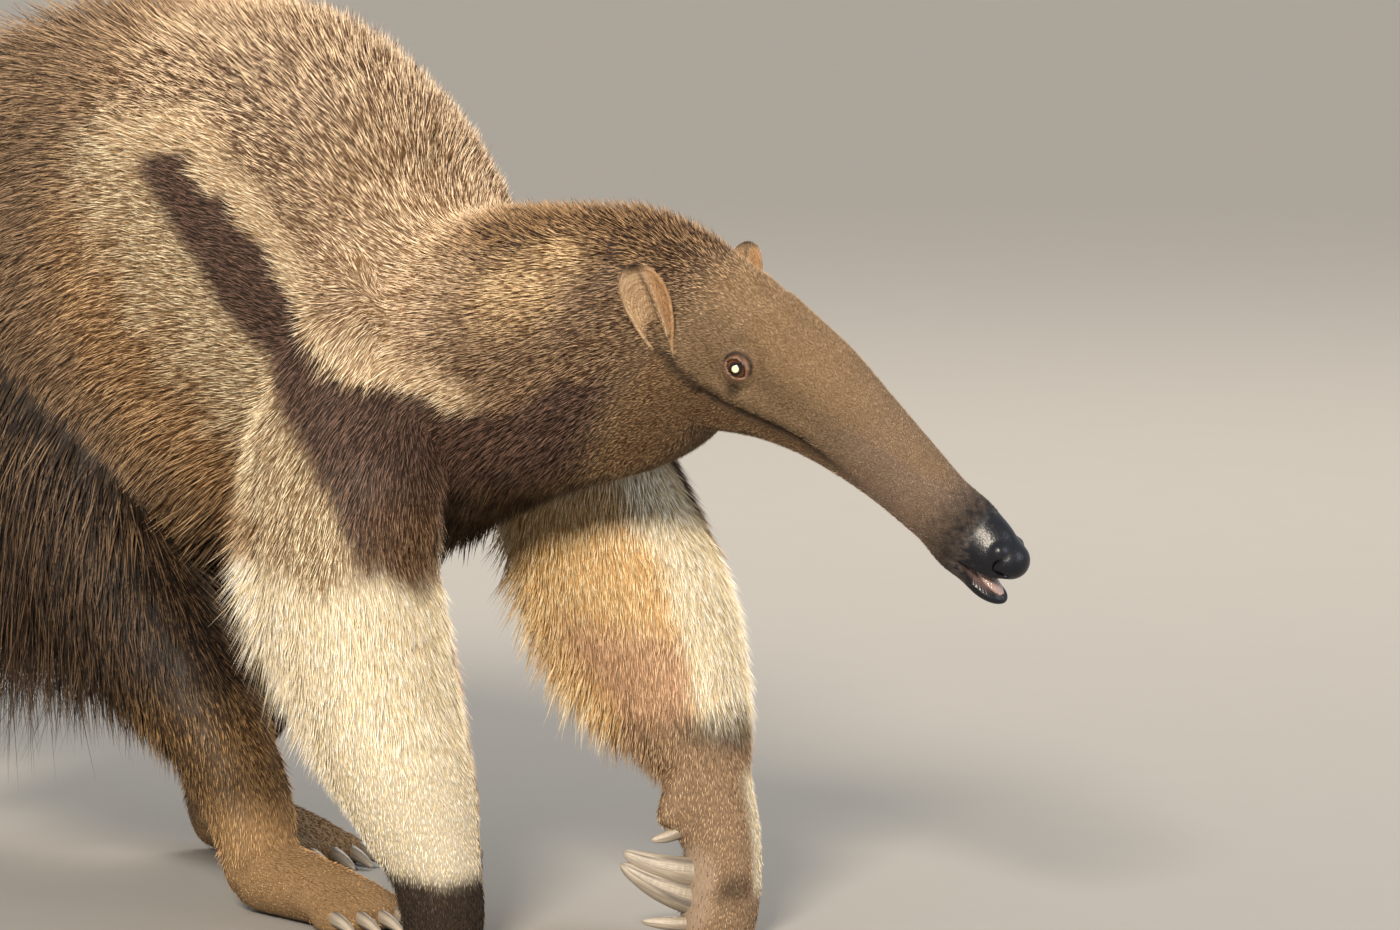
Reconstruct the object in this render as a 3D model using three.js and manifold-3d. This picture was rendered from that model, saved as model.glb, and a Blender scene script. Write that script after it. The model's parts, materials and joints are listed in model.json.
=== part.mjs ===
// A life-size still model of a giant anteater (Myrmecophaga tridactyla) in mid-stride, head low and
// turned to its own left. Millimetres, +X towards the head along the trunk, +Y to the animal's left,
// +Z up. The soles, the folded hands and the tips of the tail hair rest on the floor at Z = 0.
import * as THREE from "three";
import { mergeVertices } from "three/addons/utils/BufferGeometryUtils.js";
import Module from "manifold-3d";

const wasm = await Module();
wasm.setup();

// Driving dimensions
const BACK_HEIGHT = 568; // top of the back without the mane
const TRACK = 85; // sideways distance of each foot from the middle
const HEAD_TURN = THREE.MathUtils.degToRad(24); // turn of the head to the left
const EAR_POINT = { x: 130, y: 45, z: 410 }; // middle of the head between the ears
const HEAD_PITCH = THREE.MathUtils.degToRad(-33.4); // the head's axis below the level
const HEAD_ROLL = THREE.MathUtils.degToRad(8); // the left side of the head held higher
const GAP = 0.3; // space that touching pieces keep
const EYE_RADIUS = 9;
const UP = new THREE.Vector3(0, 0, 1);
const DOWN = new THREE.Vector3(0, 0, -1);
const FRONT = new THREE.Vector3(1, 0, 0);
const BACK = new THREE.Vector3(-1, 0, 0);
const LEFT = new THREE.Vector3(0, 1, 0);
const SEED = 20;

// Materials
const material = (color, roughness) =>
  new THREE.MeshStandardMaterial({ color, roughness, metalness: 0 });
const COAT = material(0x6f5f4c, 0.9);
const DARK_COAT = material(0x35291f, 0.9);
const PALE_COAT = material(0xe6d9bd, 0.9);
const FACE = material(0x6a5a4a, 0.85);
const NOSE_SKIN = material(0x1c1d22, 0.35);
const TONGUE_SKIN = material(0xb98a84, 0.3);
const HORN = material(0x8d8377, 0.5);
const EYE = material(0x120c08, 0.08);

// Solids
const vector = (p) => new THREE.Vector3(...p);

function solidOf(geometry) {
  geometry.deleteAttribute("normal");
  geometry.deleteAttribute("uv");
  const merged = mergeVertices(geometry, 1e-3);
  return new wasm.Manifold(
    new wasm.Mesh({
      numProp: 3,
      vertProperties: merged.getAttribute("position").array,
      triVerts: new Uint32Array(merged.index.array),
    }),
  );
}

function geometryOf(solid) {
  const { numProp, vertProperties, triVerts } = solid.getMesh();
  const count = vertProperties.length / numProp;
  const places = new Float32Array(count * 3);
  for (let i = 0; i < count; i++) {
    places.set(vertProperties.subarray(i * numProp, i * numProp + 3), i * 3);
  }
  const geometry = new THREE.BufferGeometry();
  geometry.setAttribute("position", new THREE.BufferAttribute(places, 3));
  geometry.setIndex(new THREE.BufferAttribute(triVerts, 1));
  geometry.computeVertexNormals();
  return geometry;
}

const joined = (solids) => solids.reduce((all, one) => all.add(one));
const without = (solid, ...others) => others.reduce((left, one) => left.subtract(one), solid);

function largest(solid) {
  const pieces = solid.decompose();
  return pieces.reduce((best, one) => (one.volume() > best.volume() ? one : best));
}

// The half of a solid on the side of a plane that its normal points to, half a gap clear of it.
function beyond(solid, point, normal) {
  const n = normal.clone().normalize();
  return solid.trimByPlane(n.toArray(), n.dot(point) + GAP / 2);
}

// Lofts: a station holds the middle of a section and its half sizes to the side, up and down
const SIDES = 18;

class Loft {
  constructor(stations, { lead = UP, sides = SIDES, steps = 3, pear = 0 } = {}) {
    Object.assign(this, { stations, lead, sides, steps, pear });
    this.path = new THREE.CatmullRomCurve3(stations.map((s) => vector(s.at)));
    this.sizes = new THREE.CatmullRomCurve3(
      stations.map((s) => new THREE.Vector3(s.side, s.up, s.down ?? s.up)),
    );
  }

  // The share of the path at which it passes a place along X, on a path that never turns back.
  shareAt(x) {
    const rising = this.path.getPoint(1).x > this.path.getPoint(0).x;
    let [low, high] = [0, 1];
    for (let i = 0; i < 24; i++) {
      const middle = (low + high) / 2;
      if (this.path.getPoint(middle).x < x === rising) low = middle;
      else high = middle;
    }
    return low;
  }

  // The point of the surface at a share of the path and an angle from its side, a quarter turn being up.
  point(share, angle, margin = 0) {
    const forward = this.path.getTangent(share);
    const side = new THREE.Vector3().crossVectors(this.lead, forward).normalize();
    const up = new THREE.Vector3().crossVectors(forward, side);
    const half = this.sizes.getPoint(share);
    const [across, high] = [Math.cos(angle), Math.sin(angle)];
    const width = (half.x + margin) * (1 - this.pear * high) * across;
    const height = ((high > 0 ? half.y : half.z) + margin) * high;
    return this.path.getPoint(share).addScaledVector(side, width).addScaledVector(up, height);
  }

  normal(share, angle) {
    const step = 0.004;
    const from = Math.max(0, share - step);
    const to = Math.min(1, share + step);
    const along = this.point(to, angle).sub(this.point(from, angle));
    const round = this.point(share, angle + step).sub(this.point(share, angle - step));
    return new THREE.Vector3().crossVectors(round, along).normalize();
  }

  solid(margin = 0) {
    const rings = (this.stations.length - 1) * this.steps + 1;
    const places = [];
    for (let i = 0; i < rings; i++) {
      const share = i / (rings - 1);
      const end = i === 0 ? -margin : i === rings - 1 ? margin : 0;
      const shift = this.path.getTangent(share).multiplyScalar(end);
      for (let j = 0; j < this.sides; j++) {
        const angle = (2 * Math.PI * j) / this.sides;
        places.push(...this.point(share, angle, margin).add(shift).toArray());
      }
    }
    return closedTube(places, rings, this.sides);
  }
}

// Rings of points joined into a tube, with a fan across each end, drawn out to a tip if there is one.
function closedTube(places, rings, sides, tip) {
  const faces = [];
  const middleOf = (ring) => {
    const middle = [0, 0, 0];
    for (let j = 0; j < sides; j++) {
      for (let k = 0; k < 3; k++) middle[k] += places[(ring * sides + j) * 3 + k] / sides;
    }
    return middle;
  };
  const first = rings * sides;
  const all = [...places, ...middleOf(0), ...(tip?.toArray() ?? middleOf(rings - 1))];
  for (let j = 0; j < sides; j++) {
    const next = (j + 1) % sides;
    for (let i = 0; i < rings - 1; i++) {
      const [a, b] = [i * sides + j, i * sides + next];
      faces.push(a, b, a + sides, b, b + sides, a + sides);
    }
    const last = (rings - 1) * sides;
    faces.push(first, next, j, first + 1, last + j, last + next);
  }
  const geometry = new THREE.BufferGeometry();
  geometry.setAttribute("position", new THREE.Float32BufferAttribute(all, 3));
  geometry.setIndex(faces);
  return solidOf(geometry);
}

function ellipsoid(centre, halves, turn = new THREE.Euler(), detail = [12, 8]) {
  const geometry = new THREE.SphereGeometry(1, ...detail);
  const place = new THREE.Matrix4().compose(
    centre,
    new THREE.Quaternion().setFromEuler(turn),
    vector(halves),
  );
  return solidOf(geometry.applyMatrix4(place));
}

// The head's own frame: along its axis from between the ears, to its left, and up from the axis
const headAlong = new THREE.Vector3(
  Math.cos(HEAD_TURN) * Math.cos(HEAD_PITCH),
  Math.sin(HEAD_TURN) * Math.cos(HEAD_PITCH),
  Math.sin(HEAD_PITCH),
);
const headLeft = new THREE.Vector3(-Math.sin(HEAD_TURN), Math.cos(HEAD_TURN), 0);
headLeft.applyAxisAngle(headAlong, HEAD_ROLL);
const headUp = new THREE.Vector3().crossVectors(headAlong, headLeft);
const headFrame = new THREE.Matrix4().makeBasis(headAlong, headLeft, headUp);
headFrame.setPosition(EAR_POINT.x, EAR_POINT.y, EAR_POINT.z);
const onHead = (along, left, up) => new THREE.Vector3(along, left, up).applyMatrix4(headFrame);
const headTurned = new THREE.Euler().setFromRotationMatrix(headFrame);

// Body: one form from the rump to the nose
const upright = (x, y, top, bottom, side) => ({
  at: [x, y, (top + bottom) / 2],
  side,
  up: (top - bottom) / 2,
});
const tilted = (along, top, bottom, side) => ({
  at: onHead(along, 0, (top + bottom) / 2).toArray(),
  side,
  up: (top - bottom) / 2,
});
const body = new Loft(
  [
    upright(-668, 0, BACK_HEIGHT - 132, 352, 34),
    upright(-640, 0, BACK_HEIGHT - 92, 292, 76),
    upright(-570, 0, BACK_HEIGHT - 50, 242, 116),
    upright(-480, 0, BACK_HEIGHT - 24, 226, 130),
    upright(-380, 0, BACK_HEIGHT - 7, 214, 137),
    upright(-290, 0, BACK_HEIGHT, 206, 138),
    upright(-205, 0, BACK_HEIGHT - 15, 210, 128),
    upright(-130, 0, BACK_HEIGHT - 59, 238, 114),
    upright(-72, 0, BACK_HEIGHT - 92, 265, 99),
    upright(-22, 2, BACK_HEIGHT - 93, 284, 86),
    upright(30, 9, BACK_HEIGHT - 89, 290, 72),
    upright(84, 26, BACK_HEIGHT - 88, 304, 60),
    tilted(16, 48, -80, 49),
    tilted(52, 46, -54, 43),
    tilted(92, 43, -37, 37),
    tilted(130, 35, -29.5, 32),
    tilted(166, 28, -27.5, 28),
    tilted(200, 21, -29, 25),
    tilted(230, 16, -31, 22),
    tilted(252, 11, -27, 19),
    tilted(264, 3, -18, 12),
  ],
  { steps: 2, pear: 0.12 },
);

// Legs: each is one form from inside the trunk to the wrist or heel, led by its front
const section = (at, side, front, back) => ({ at, side, up: front, down: back ?? front });
const rightArm = new Loft(
  [
    section([-96, -70, 372], 44, 66, 70),
    section([-92, -92, 300], 52, 96, 76),
    section([-76, -103, 236], 56, 88, 74),
    section([-50, -103, 190], 55, 70, 66),
    section([-22, -100, 132], 50, 58, 58),
    section([2, -95, 84], 42, 46, 46),
    section([16, -90, 48], 34, 37, 37),
  ],
  { lead: FRONT, sides: 12, steps: 2 },
);
const leftArm = new Loft(
  [
    section([-84, 70, 372], 44, 62, 66),
    section([-72, 90, 300], 50, 76, 84),
    section([-44, 99, 238], 50, 80, 92),
    section([0, 99, 190], 46, 72, 80),
    section([44, 94, 138], 38, 50, 48),
    section([72, 89, 96], 29, 32, 32),
    section([80, 86, 66], 30, 32, 32),
  ],
  { lead: FRONT, sides: 12, steps: 2 },
);
const rightLeg = new Loft(
  [
    section([-498, -62, 392], 60, 84, 84),
    section([-448, -92, 320], 52, 84, 88),
    section([-362, -107, 244], 46, 74, 80),
    section([-290, -103, 180], 41, 56, 56),
    section([-240, -91, 122], 36, 44, 42),
    section([-208, -81, 66], 31, 33, 34),
    section([-202, -78, 34], 29, 30, 32),
  ],
  { lead: FRONT, sides: 12, steps: 2 },
);
const leftLeg = new Loft(
  [
    section([-512, 62, 392], 60, 84, 84),
    section([-462, 92, 312], 52, 86, 88),
    section([-414, 104, 230], 46, 72, 76),
    section([-420, 101, 164], 40, 54, 54),
    section([-456, 92, 112], 34, 40, 40),
    section([-484, 87, 66], 31, 32, 34),
    section([-490, 86, 34], 29, 30, 32),
  ],
  { lead: FRONT, sides: 12, steps: 2 },
);

// Tail: at each station the bone's height and half size, and how far the hair reaches
const TAIL = [
  { x: -690, y: 0, bone: 404, half: 48, top: 452, bottom: 236, side: 58 },
  { x: -790, y: -8, bone: 358, half: 41, top: 412, bottom: 104, side: 66 },
  { x: -900, y: -22, bone: 298, half: 34, top: 356, bottom: 18, side: 68 },
  { x: -1030, y: -38, bone: 240, half: 27, top: 296, bottom: -10, side: 68 },
  { x: -1170, y: -48, bone: 196, half: 20, top: 246, bottom: -12, side: 62 },
  { x: -1310, y: -52, bone: 158, half: 12, top: 196, bottom: -12, side: 50 },
];
const TAIL_TUFT = [
  { x: -1430, y: -52, top: 128, bottom: -8, side: 32 },
  { x: -1500, y: -52, top: 60, bottom: 4, side: 10 },
];
const FLESH_SHARE = 0.45; // how far towards the tips the dense hair round the bone reaches
const between = (from, to) => from + (to - from) * FLESH_SHARE;
const tailCore = new Loft(
  [
    upright(-640, 0, 470, 372, 46),
    ...TAIL.map(({ x, y, bone, half, top, bottom, side }) =>
      upright(x, y, between(bone + half, top), between(bone - half, bottom), between(half, side)),
    ),
  ],
  { sides: 10, steps: 1 },
);
const tailReach = new Loft(
  [...TAIL, ...TAIL_TUFT].map((s) => upright(s.x, s.y, s.top, s.bottom, s.side)),
);

// How far the crest of the back reaches with its hair
const crestReach = new Loft(
  [
    upright(-760, -4, BACK_HEIGHT - 150, 300, 26),
    upright(-700, 0, BACK_HEIGHT - 104, 330, 40),
    upright(-640, 0, BACK_HEIGHT - 34, 330, 62),
    upright(-560, 0, BACK_HEIGHT + 20, 340, 84),
    upright(-480, 0, BACK_HEIGHT + 38, 360, 90),
    upright(-390, 0, BACK_HEIGHT + 46, 380, 90),
    upright(-300, 0, BACK_HEIGHT + 32, 380, 78),
    upright(-220, 0, BACK_HEIGHT, 380, 62),
    upright(-150, 0, BACK_HEIGHT - 38, 370, 50),
    upright(-90, 0, BACK_HEIGHT - 80, 350, 46),
    upright(-22, 0, BACK_HEIGHT - 90, 330, 44),
    upright(40, 12, BACK_HEIGHT - 82, 330, 40),
  ],
);

// Locks: flat, tapered, bent strands of hair, their roots sunk in the form that they grow from
function seeded(seed) {
  let state = seed;
  return () => {
    state = (Math.imul(state, 1664525) + 1013904223) >>> 0;
    return state / 2 ** 32;
  };
}
const draw = seeded(SEED);
const spread = (size) => (draw() - 0.5) * 2 * size;
const LOCK_SIDES = 3;
const SHARP_EDGE = 9; // a lock's thin edges and tip move out this many times the gap that it keeps
const LOCK_RINGS = [
  { share: 0, wide: 0.8, thick: 1 },
  { share: 0.38, wide: 1, thick: 0.9 },
  { share: 0.74, wide: 0.66, thick: 0.6 },
];

// A lock from a root to a tip, its flat side turned to face outwards, bowed that way.
function lockSolid({ root, tip, face, wide, thick, bow }, margin = 0) {
  const lie = tip.clone().sub(root).normalize();
  const across = new THREE.Vector3().crossVectors(lie, face).normalize();
  const out = new THREE.Vector3().crossVectors(across, lie);
  const bend = root.clone().lerp(tip, 0.42).addScaledVector(out, bow);
  const path = new THREE.QuadraticBezierCurve3(root, bend, tip);
  const places = [];
  for (const ring of LOCK_RINGS) {
    const middle = path.getPoint(ring.share);
    const half = (wide / 2) * ring.wide + SHARP_EDGE * margin;
    const inner = -(thick / 4) * ring.thick - margin;
    const outer = (thick / 2) * ring.thick + 2 * margin;
    for (const [a, o] of [[half, inner], [-half, inner], [0, outer]]) {
      places.push(...middle.clone().addScaledVector(across, a).addScaledVector(out, o).toArray());
    }
  }
  const last = tip.clone().sub(path.getPoint(LOCK_RINGS.at(-1).share)).normalize();
  const end = tip.clone().addScaledVector(last, SHARP_EDGE * margin);
  return closedTube(places, LOCK_RINGS.length, LOCK_SIDES, end);
}

const lockSolids = (locks, margin = 0) => joined(locks.map((one) => lockSolid(one, margin)));

// A row of locks rooted along a form, from one share of it to another, each out to its own tip.
function row({ core, from, to, angle, count, tipAt, wide, thick = 9, sunk = 9, bow = 6, face }) {
  return Array.from({ length: count }, (_, i) => {
    const part = (i + 0.5 + spread(0.22)) / count;
    const share = from + (to - from) * part;
    const turn = THREE.MathUtils.degToRad(angle + spread(5));
    const normal = core.normal(share, turn);
    const root = core.point(share, turn).addScaledVector(normal, -sunk);
    return {
      root,
      tip: tipAt({ part, share, turn, normal, root }),
      face: face ?? normal,
      wide: wide * (1 + spread(0.14)),
      thick,
      bow: bow * (1 + spread(0.4)),
    };
  });
}

// The crest: rows along the back, lying backwards and rising towards the rump
const CREST_ROWS = [
  { angle: 90, count: 8, from: -130, to: -604, reachAngle: 90 },
  { angle: 64, count: 7, from: -190, to: -606, reachAngle: 58 },
  { angle: 116, count: 7, from: -190, to: -606, reachAngle: 122 },
];
const NAPE_ROW = { angle: 90, count: 4, from: 74, to: -20, reachAngle: 90 };
const crestRow = ({ angle, count, from, to, reachAngle }, laid) =>
  row({
    core: body,
    from: body.shareAt(from),
    to: body.shareAt(to),
    angle,
    count,
    wide: 66,
    bow: 8,
    tipAt: ({ root }) => {
      const share = crestReach.shareAt(root.x - laid * (1 + spread(0.15)));
      return crestReach.point(share, THREE.MathUtils.degToRad(reachAngle + spread(6)));
    },
  });
const crestLocks = CREST_ROWS.flatMap((one) => crestRow(one, 96));
const napeLocks = crestRow(NAPE_ROW, 44);

// The skirt: long hair along the lower flanks, and a short brush under the chest
const skirtRow = (angle, count, from, to, drop, wide) =>
  row({
    core: body,
    from: body.shareAt(from),
    to: body.shareAt(to),
    angle,
    count,
    wide,
    tipAt: ({ root, normal }) => {
      const laid = new THREE.Vector3(-drop * 1.15, 0, -drop * (1 + spread(0.15)));
      return root.clone().add(laid).addScaledVector(normal, 12);
    },
  });
const skirtLocks = [
  ...skirtRow(-42, 4, -180, -330, 62, 56),
  ...skirtRow(-138, 4, -180, -330, 62, 56),
  ...skirtRow(-66, 4, -170, -390, 52, 70),
  ...skirtRow(-114, 4, -170, -390, 52, 70),
  ...skirtRow(-90, 2, -150, -240, 34, 70),
];

// Fringes: rows along a leg whose tips follow a line of their own
function fringe({ line, ...rest }) {
  const edge = new THREE.CatmullRomCurve3(line.map(vector));
  const tipAt = ({ part }) => {
    const tip = edge.getPoint(part);
    return tip.add(new THREE.Vector3(spread(6), spread(4), spread(7)));
  };
  return row({ bow: 7, face: LEFT, tipAt, ...rest });
}
const thighFringe = (core, side, lift) => [
  ...fringe({
    core,
    from: 0.16,
    to: 0.46,
    angle: -90 - side * 22,
    count: 4,
    line: [
      [-596, side * 84, 188 + lift],
      [-532, side * 98, 96 + lift],
      [-456, side * 106, 56 + lift],
      [-388, side * 104, 84 + lift],
    ],
    wide: 84,
  }),
  ...fringe({
    core,
    from: 0.1,
    to: 0.4,
    angle: -90 + side * 24,
    count: 4,
    line: [
      [-610, side * 62, 214 + lift],
      [-548, side * 74, 128 + lift],
      [-470, side * 82, 84 + lift],
      [-400, side * 86, 110 + lift],
    ],
    wide: 76,
  }),
];
const limbLocks = {
  thigh_right: thighFringe(rightLeg, -1, 0),
  thigh_left: thighFringe(leftLeg, 1, 26),
  shank_left: fringe({
    core: leftLeg,
    from: 0.4,
    to: 0.66,
    angle: 78,
    count: 3,
    line: [
      [-350, 100, 118],
      [-356, 98, 72],
      [-376, 95, 36],
    ],
    wide: 60,
  }),
  upper_arm_left: fringe({
    core: leftArm,
    from: 0.24,
    to: 0.37,
    angle: -96,
    count: 3,
    line: [
      [-178, 94, 238],
      [-176, 97, 206],
      [-164, 99, 178],
    ],
    wide: 46,
  }),
  forearm_left: [
    ...fringe({
      core: leftArm,
      from: 0.4,
      to: 0.74,
      angle: -90,
      count: 5,
      line: [
        [-152, 99, 158],
        [-110, 99, 130],
        [-60, 98, 112],
        [-8, 95, 94],
      ],
      wide: 50,
    }),
    ...fringe({
      core: leftArm,
      from: 0.4,
      to: 0.7,
      angle: 80,
      count: 3,
      line: [
        [66, 97, 196],
        [92, 96, 152],
        [112, 94, 112],
      ],
      wide: 58,
    }),
  ],
  upper_arm_right: fringe({
    core: rightArm,
    from: 0.3,
    to: 0.4,
    angle: -100,
    count: 2,
    line: [
      [-176, -104, 214],
      [-158, -106, 176],
    ],
    wide: 42,
  }),
  forearm_right: fringe({
    core: rightArm,
    from: 0.44,
    to: 0.9,
    angle: -90,
    count: 5,
    line: [
      [-138, -102, 148],
      [-108, -101, 108],
      [-66, -99, 66],
      [-24, -96, 38],
    ],
    wide: 54,
  }),
};

// The flag of the tail: rows that sweep back and down from the dense hair to the tips
const TAIL_ROWS = [
  { angle: -90, count: 6, sweep: 118, fall: 0, wide: 100 },
  { angle: -56, count: 5, sweep: 112, fall: -8, wide: 108 },
  { angle: -124, count: 5, sweep: 112, fall: 8, wide: 108 },
  { angle: -8, count: 4, sweep: 108, fall: -16, wide: 112 },
  { angle: -172, count: 4, sweep: 108, fall: 16, wide: 112 },
  { angle: 52, count: 4, sweep: 104, fall: -6, wide: 96 },
  { angle: 128, count: 4, sweep: 104, fall: 6, wide: 96 },
];
const tailLocks = TAIL_ROWS.flatMap(({ angle, count, sweep, fall, wide }) =>
  row({
    core: tailCore,
    from: 0.06,
    to: 1,
    angle,
    count,
    wide,
    thick: 10,
    sunk: 12,
    bow: 9,
    tipAt: ({ root, turn, part }) => {
      const share = tailReach.shareAt(root.x - sweep * (1 + 0.66 * part + spread(0.12)));
      return tailReach.point(share, turn + THREE.MathUtils.degToRad(fall));
    },
  }),
);

const meshes = [];
function addNode(name, solid, look) {
  const mesh = new THREE.Mesh(geometryOf(largest(solid)), look);
  mesh.name = name;
  meshes.push(mesh);
}

// Trunk, neck and head, parted across the body
const NECK_START = new THREE.Vector3(-34, 0, 380);
const NECK_END = onHead(-22, 0, 0);
const neckEndFacing = headAlong.clone().add(FRONT);
const aboveFloor = (solid) => solid.trimByPlane(UP.toArray(), 0);
const limbForms = [rightArm, leftArm, rightLeg, leftLeg];
const grownLimbs = joined(limbForms.map((form) => form.solid(GAP)));
const grownBody = body.solid(GAP);
const behindNeck = (solid) => beyond(solid, NECK_START, BACK);
const torsoLocks = behindNeck(lockSolids([...crestLocks, ...skirtLocks]).subtract(grownLimbs));
const grownTorso = grownBody.add(lockSolids([...crestLocks, ...skirtLocks], GAP));
const torso = behindNeck(body.solid()).add(torsoLocks);
const neckForm = beyond(beyond(body.solid(), NECK_START, FRONT), NECK_END, neckEndFacing.clone().negate());
const grownNape = lockSolids(napeLocks, GAP);
const neck = neckForm.add(
  without(
    lockSolids(napeLocks),
    behindNeck(grownBody),
    lockSolids(crestLocks, GAP),
    beyond(grownBody, NECK_END, neckEndFacing),
  ),
);

// Head: eyes in their sockets under lids, nostrils, and a small mouth at the tip
const EYE_ALONG = 48;
const EYE_UP = 4;
const EYE_SIDE = 37.5;
const LID_RADIUS = 9.5;
const eyeAt = (side) => onHead(EYE_ALONG, side * EYE_SIDE, EYE_UP);
const eyeball = (side, margin = 0) => {
  const r = EYE_RADIUS + margin;
  return ellipsoid(eyeAt(side), [r, r, r], headTurned, [12, 8]);
};

// The rim of the lids: a ring round the eye that opens outwards and a little forwards.
function lids(side) {
  const ring = new THREE.TorusGeometry(LID_RADIUS, 3, 5, 14);
  ring.scale(1.12, 0.86, 1);
  const facing = new THREE.Vector3(0.22, side, 0.12).normalize().transformDirection(headFrame);
  const turn = new THREE.Quaternion().setFromUnitVectors(UP, facing);
  ring.applyQuaternion(turn);
  const place = eyeAt(side).addScaledVector(facing, 2.6);
  ring.translate(...place.toArray());
  return solidOf(ring);
}

const mouthGap = () =>
  new Loft(
    [
      { at: onHead(232, 0, -22).toArray(), side: 6, up: 1 },
      { at: onHead(246, 0, -23.5).toArray(), side: 14, up: 3 },
      { at: onHead(260, 0, -24).toArray(), side: 19, up: 4.5 },
      { at: onHead(284, 0, -25).toArray(), side: 24, up: 6 },
    ],
    { sides: 8, steps: 1 },
  ).solid();
const jaw = new Loft(
  [
    { at: onHead(216, 0, -27.5).toArray(), side: 14, up: 5.5 },
    { at: onHead(234, 0, -29).toArray(), side: 14.5, up: 6.2 },
    { at: onHead(250, 0, -30.5).toArray(), side: 13, up: 6 },
    { at: onHead(263, 0, -31).toArray(), side: 9, up: 4.6 },
    { at: onHead(269, 0, -30.5).toArray(), side: 4, up: 2.4 },
  ],
  { sides: 12, steps: 2 },
);
const tongue = new Loft(
  [
    { at: onHead(238, 0, -23.5).toArray(), side: 3.5, up: 1.2 },
    { at: onHead(250, 0, -24).toArray(), side: 5, up: 1.8 },
    { at: onHead(263, 0, -25.2).toArray(), side: 3.6, up: 1.5 },
    { at: onHead(268, 0, -26).toArray(), side: 1.4, up: 0.8 },
  ],
  { sides: 8, steps: 1 },
);
const nosePad = ellipsoid(onHead(255, 0, -4), [17, 18, 15], headTurned, [12, 8]);
const nostril = (side) =>
  ellipsoid(onHead(266, side * 12, -6), [7, 3.4, 5], headTurned, [8, 6]);
const skull = joined([
  beyond(body.solid(), NECK_END, neckEndFacing).subtract(grownNape),
  nosePad,
  lids(1),
  lids(-1),
]);
const head = without(
  skull,
  mouthGap(),
  jaw.solid(GAP),
  tongue.solid(GAP),
  eyeball(1, GAP),
  eyeball(-1, GAP),
  nostril(1),
  nostril(-1),
);

// Ears: small rounded cups laid back along the head, open outwards and forwards
const EAR = { base: [6, 45, -15], wide: 13, deep: 9, wall: 2.6 };
const EAR_TIPS = { left: [-29, 60, 27], right: [-37, 60, 23] };
const EAR_OPENING = [0.42, 1, -0.1];
function ear(side) {
  const at = ([along, left, up]) => onHead(along, side * left, up);
  const base = at(EAR.base);
  const tip = at(side > 0 ? EAR_TIPS.left : EAR_TIPS.right);
  const tall = base.distanceTo(tip) / 2;
  const along = tip.clone().sub(base).normalize();
  const [forward, outward, upward] = EAR_OPENING;
  const opening = new THREE.Vector3(forward, side * outward, upward).transformDirection(headFrame);
  opening.addScaledVector(along, -opening.dot(along)).normalize();
  const across = new THREE.Vector3().crossVectors(along, opening);
  const place = new THREE.Matrix4().makeBasis(opening, across, along);
  const centre = base.clone().lerp(tip, 0.5);
  const shaped = (halves, shift) => {
    const geometry = new THREE.SphereGeometry(1, 12, 8);
    geometry.rotateX(Math.PI / 2);
    geometry.scale(...halves);
    geometry.applyMatrix4(place);
    geometry.translate(...centre.clone().addScaledVector(opening, shift).toArray());
    return solidOf(geometry);
  };
  const { wide, deep, wall } = EAR;
  const outer = shaped([deep, wide, tall], 0);
  const hollow = shaped([deep, wide - wall, tall - wall], wall * 1.5);
  const facing = opening.clone().negate();
  const rim = centre.clone().addScaledVector(opening, deep * 0.2);
  return outer.subtract(hollow).trimByPlane(facing.toArray(), facing.dot(rim));
}

// Hands: the animal walks on the outer edge of its fists, with the long claws folded inwards
const CLAW_TAPER = 0.88;
const claw = (root, tip, bow, wide, tall, sides = 6) => {
  const [from, to] = [vector(root), vector(tip)];
  const middle = from.clone().lerp(to, 0.55).addScaledVector(UP, -bow);
  const path = new THREE.QuadraticBezierCurve3(from, middle, to);
  const shares = [0, 0.35, 0.7, 1];
  return new Loft(
    shares.map((s) => ({
      at: path.getPoint(s).toArray(),
      side: wide * (1 - CLAW_TAPER * s ** 2),
      up: tall * (1 - CLAW_TAPER * s ** 2),
    })),
    { sides, steps: 1 },
  );
};
function hand(wrist, ground, side) {
  const [x, y] = ground;
  return new Loft(
    [
      section([wrist[0], wrist[1], wrist[2] + 14], 27, 31, 31),
      section([x, y, 56], 30, 34, 35),
      section([x + 1, y - side * 2, 30], 31, 36, 38),
      section([x + 1, y - side * 4, 10], 30, 34, 37),
      section([x, y - side * 5, -4], 27, 30, 33),
    ],
    { lead: FRONT, sides: 12, steps: 2 },
  );
}

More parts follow.
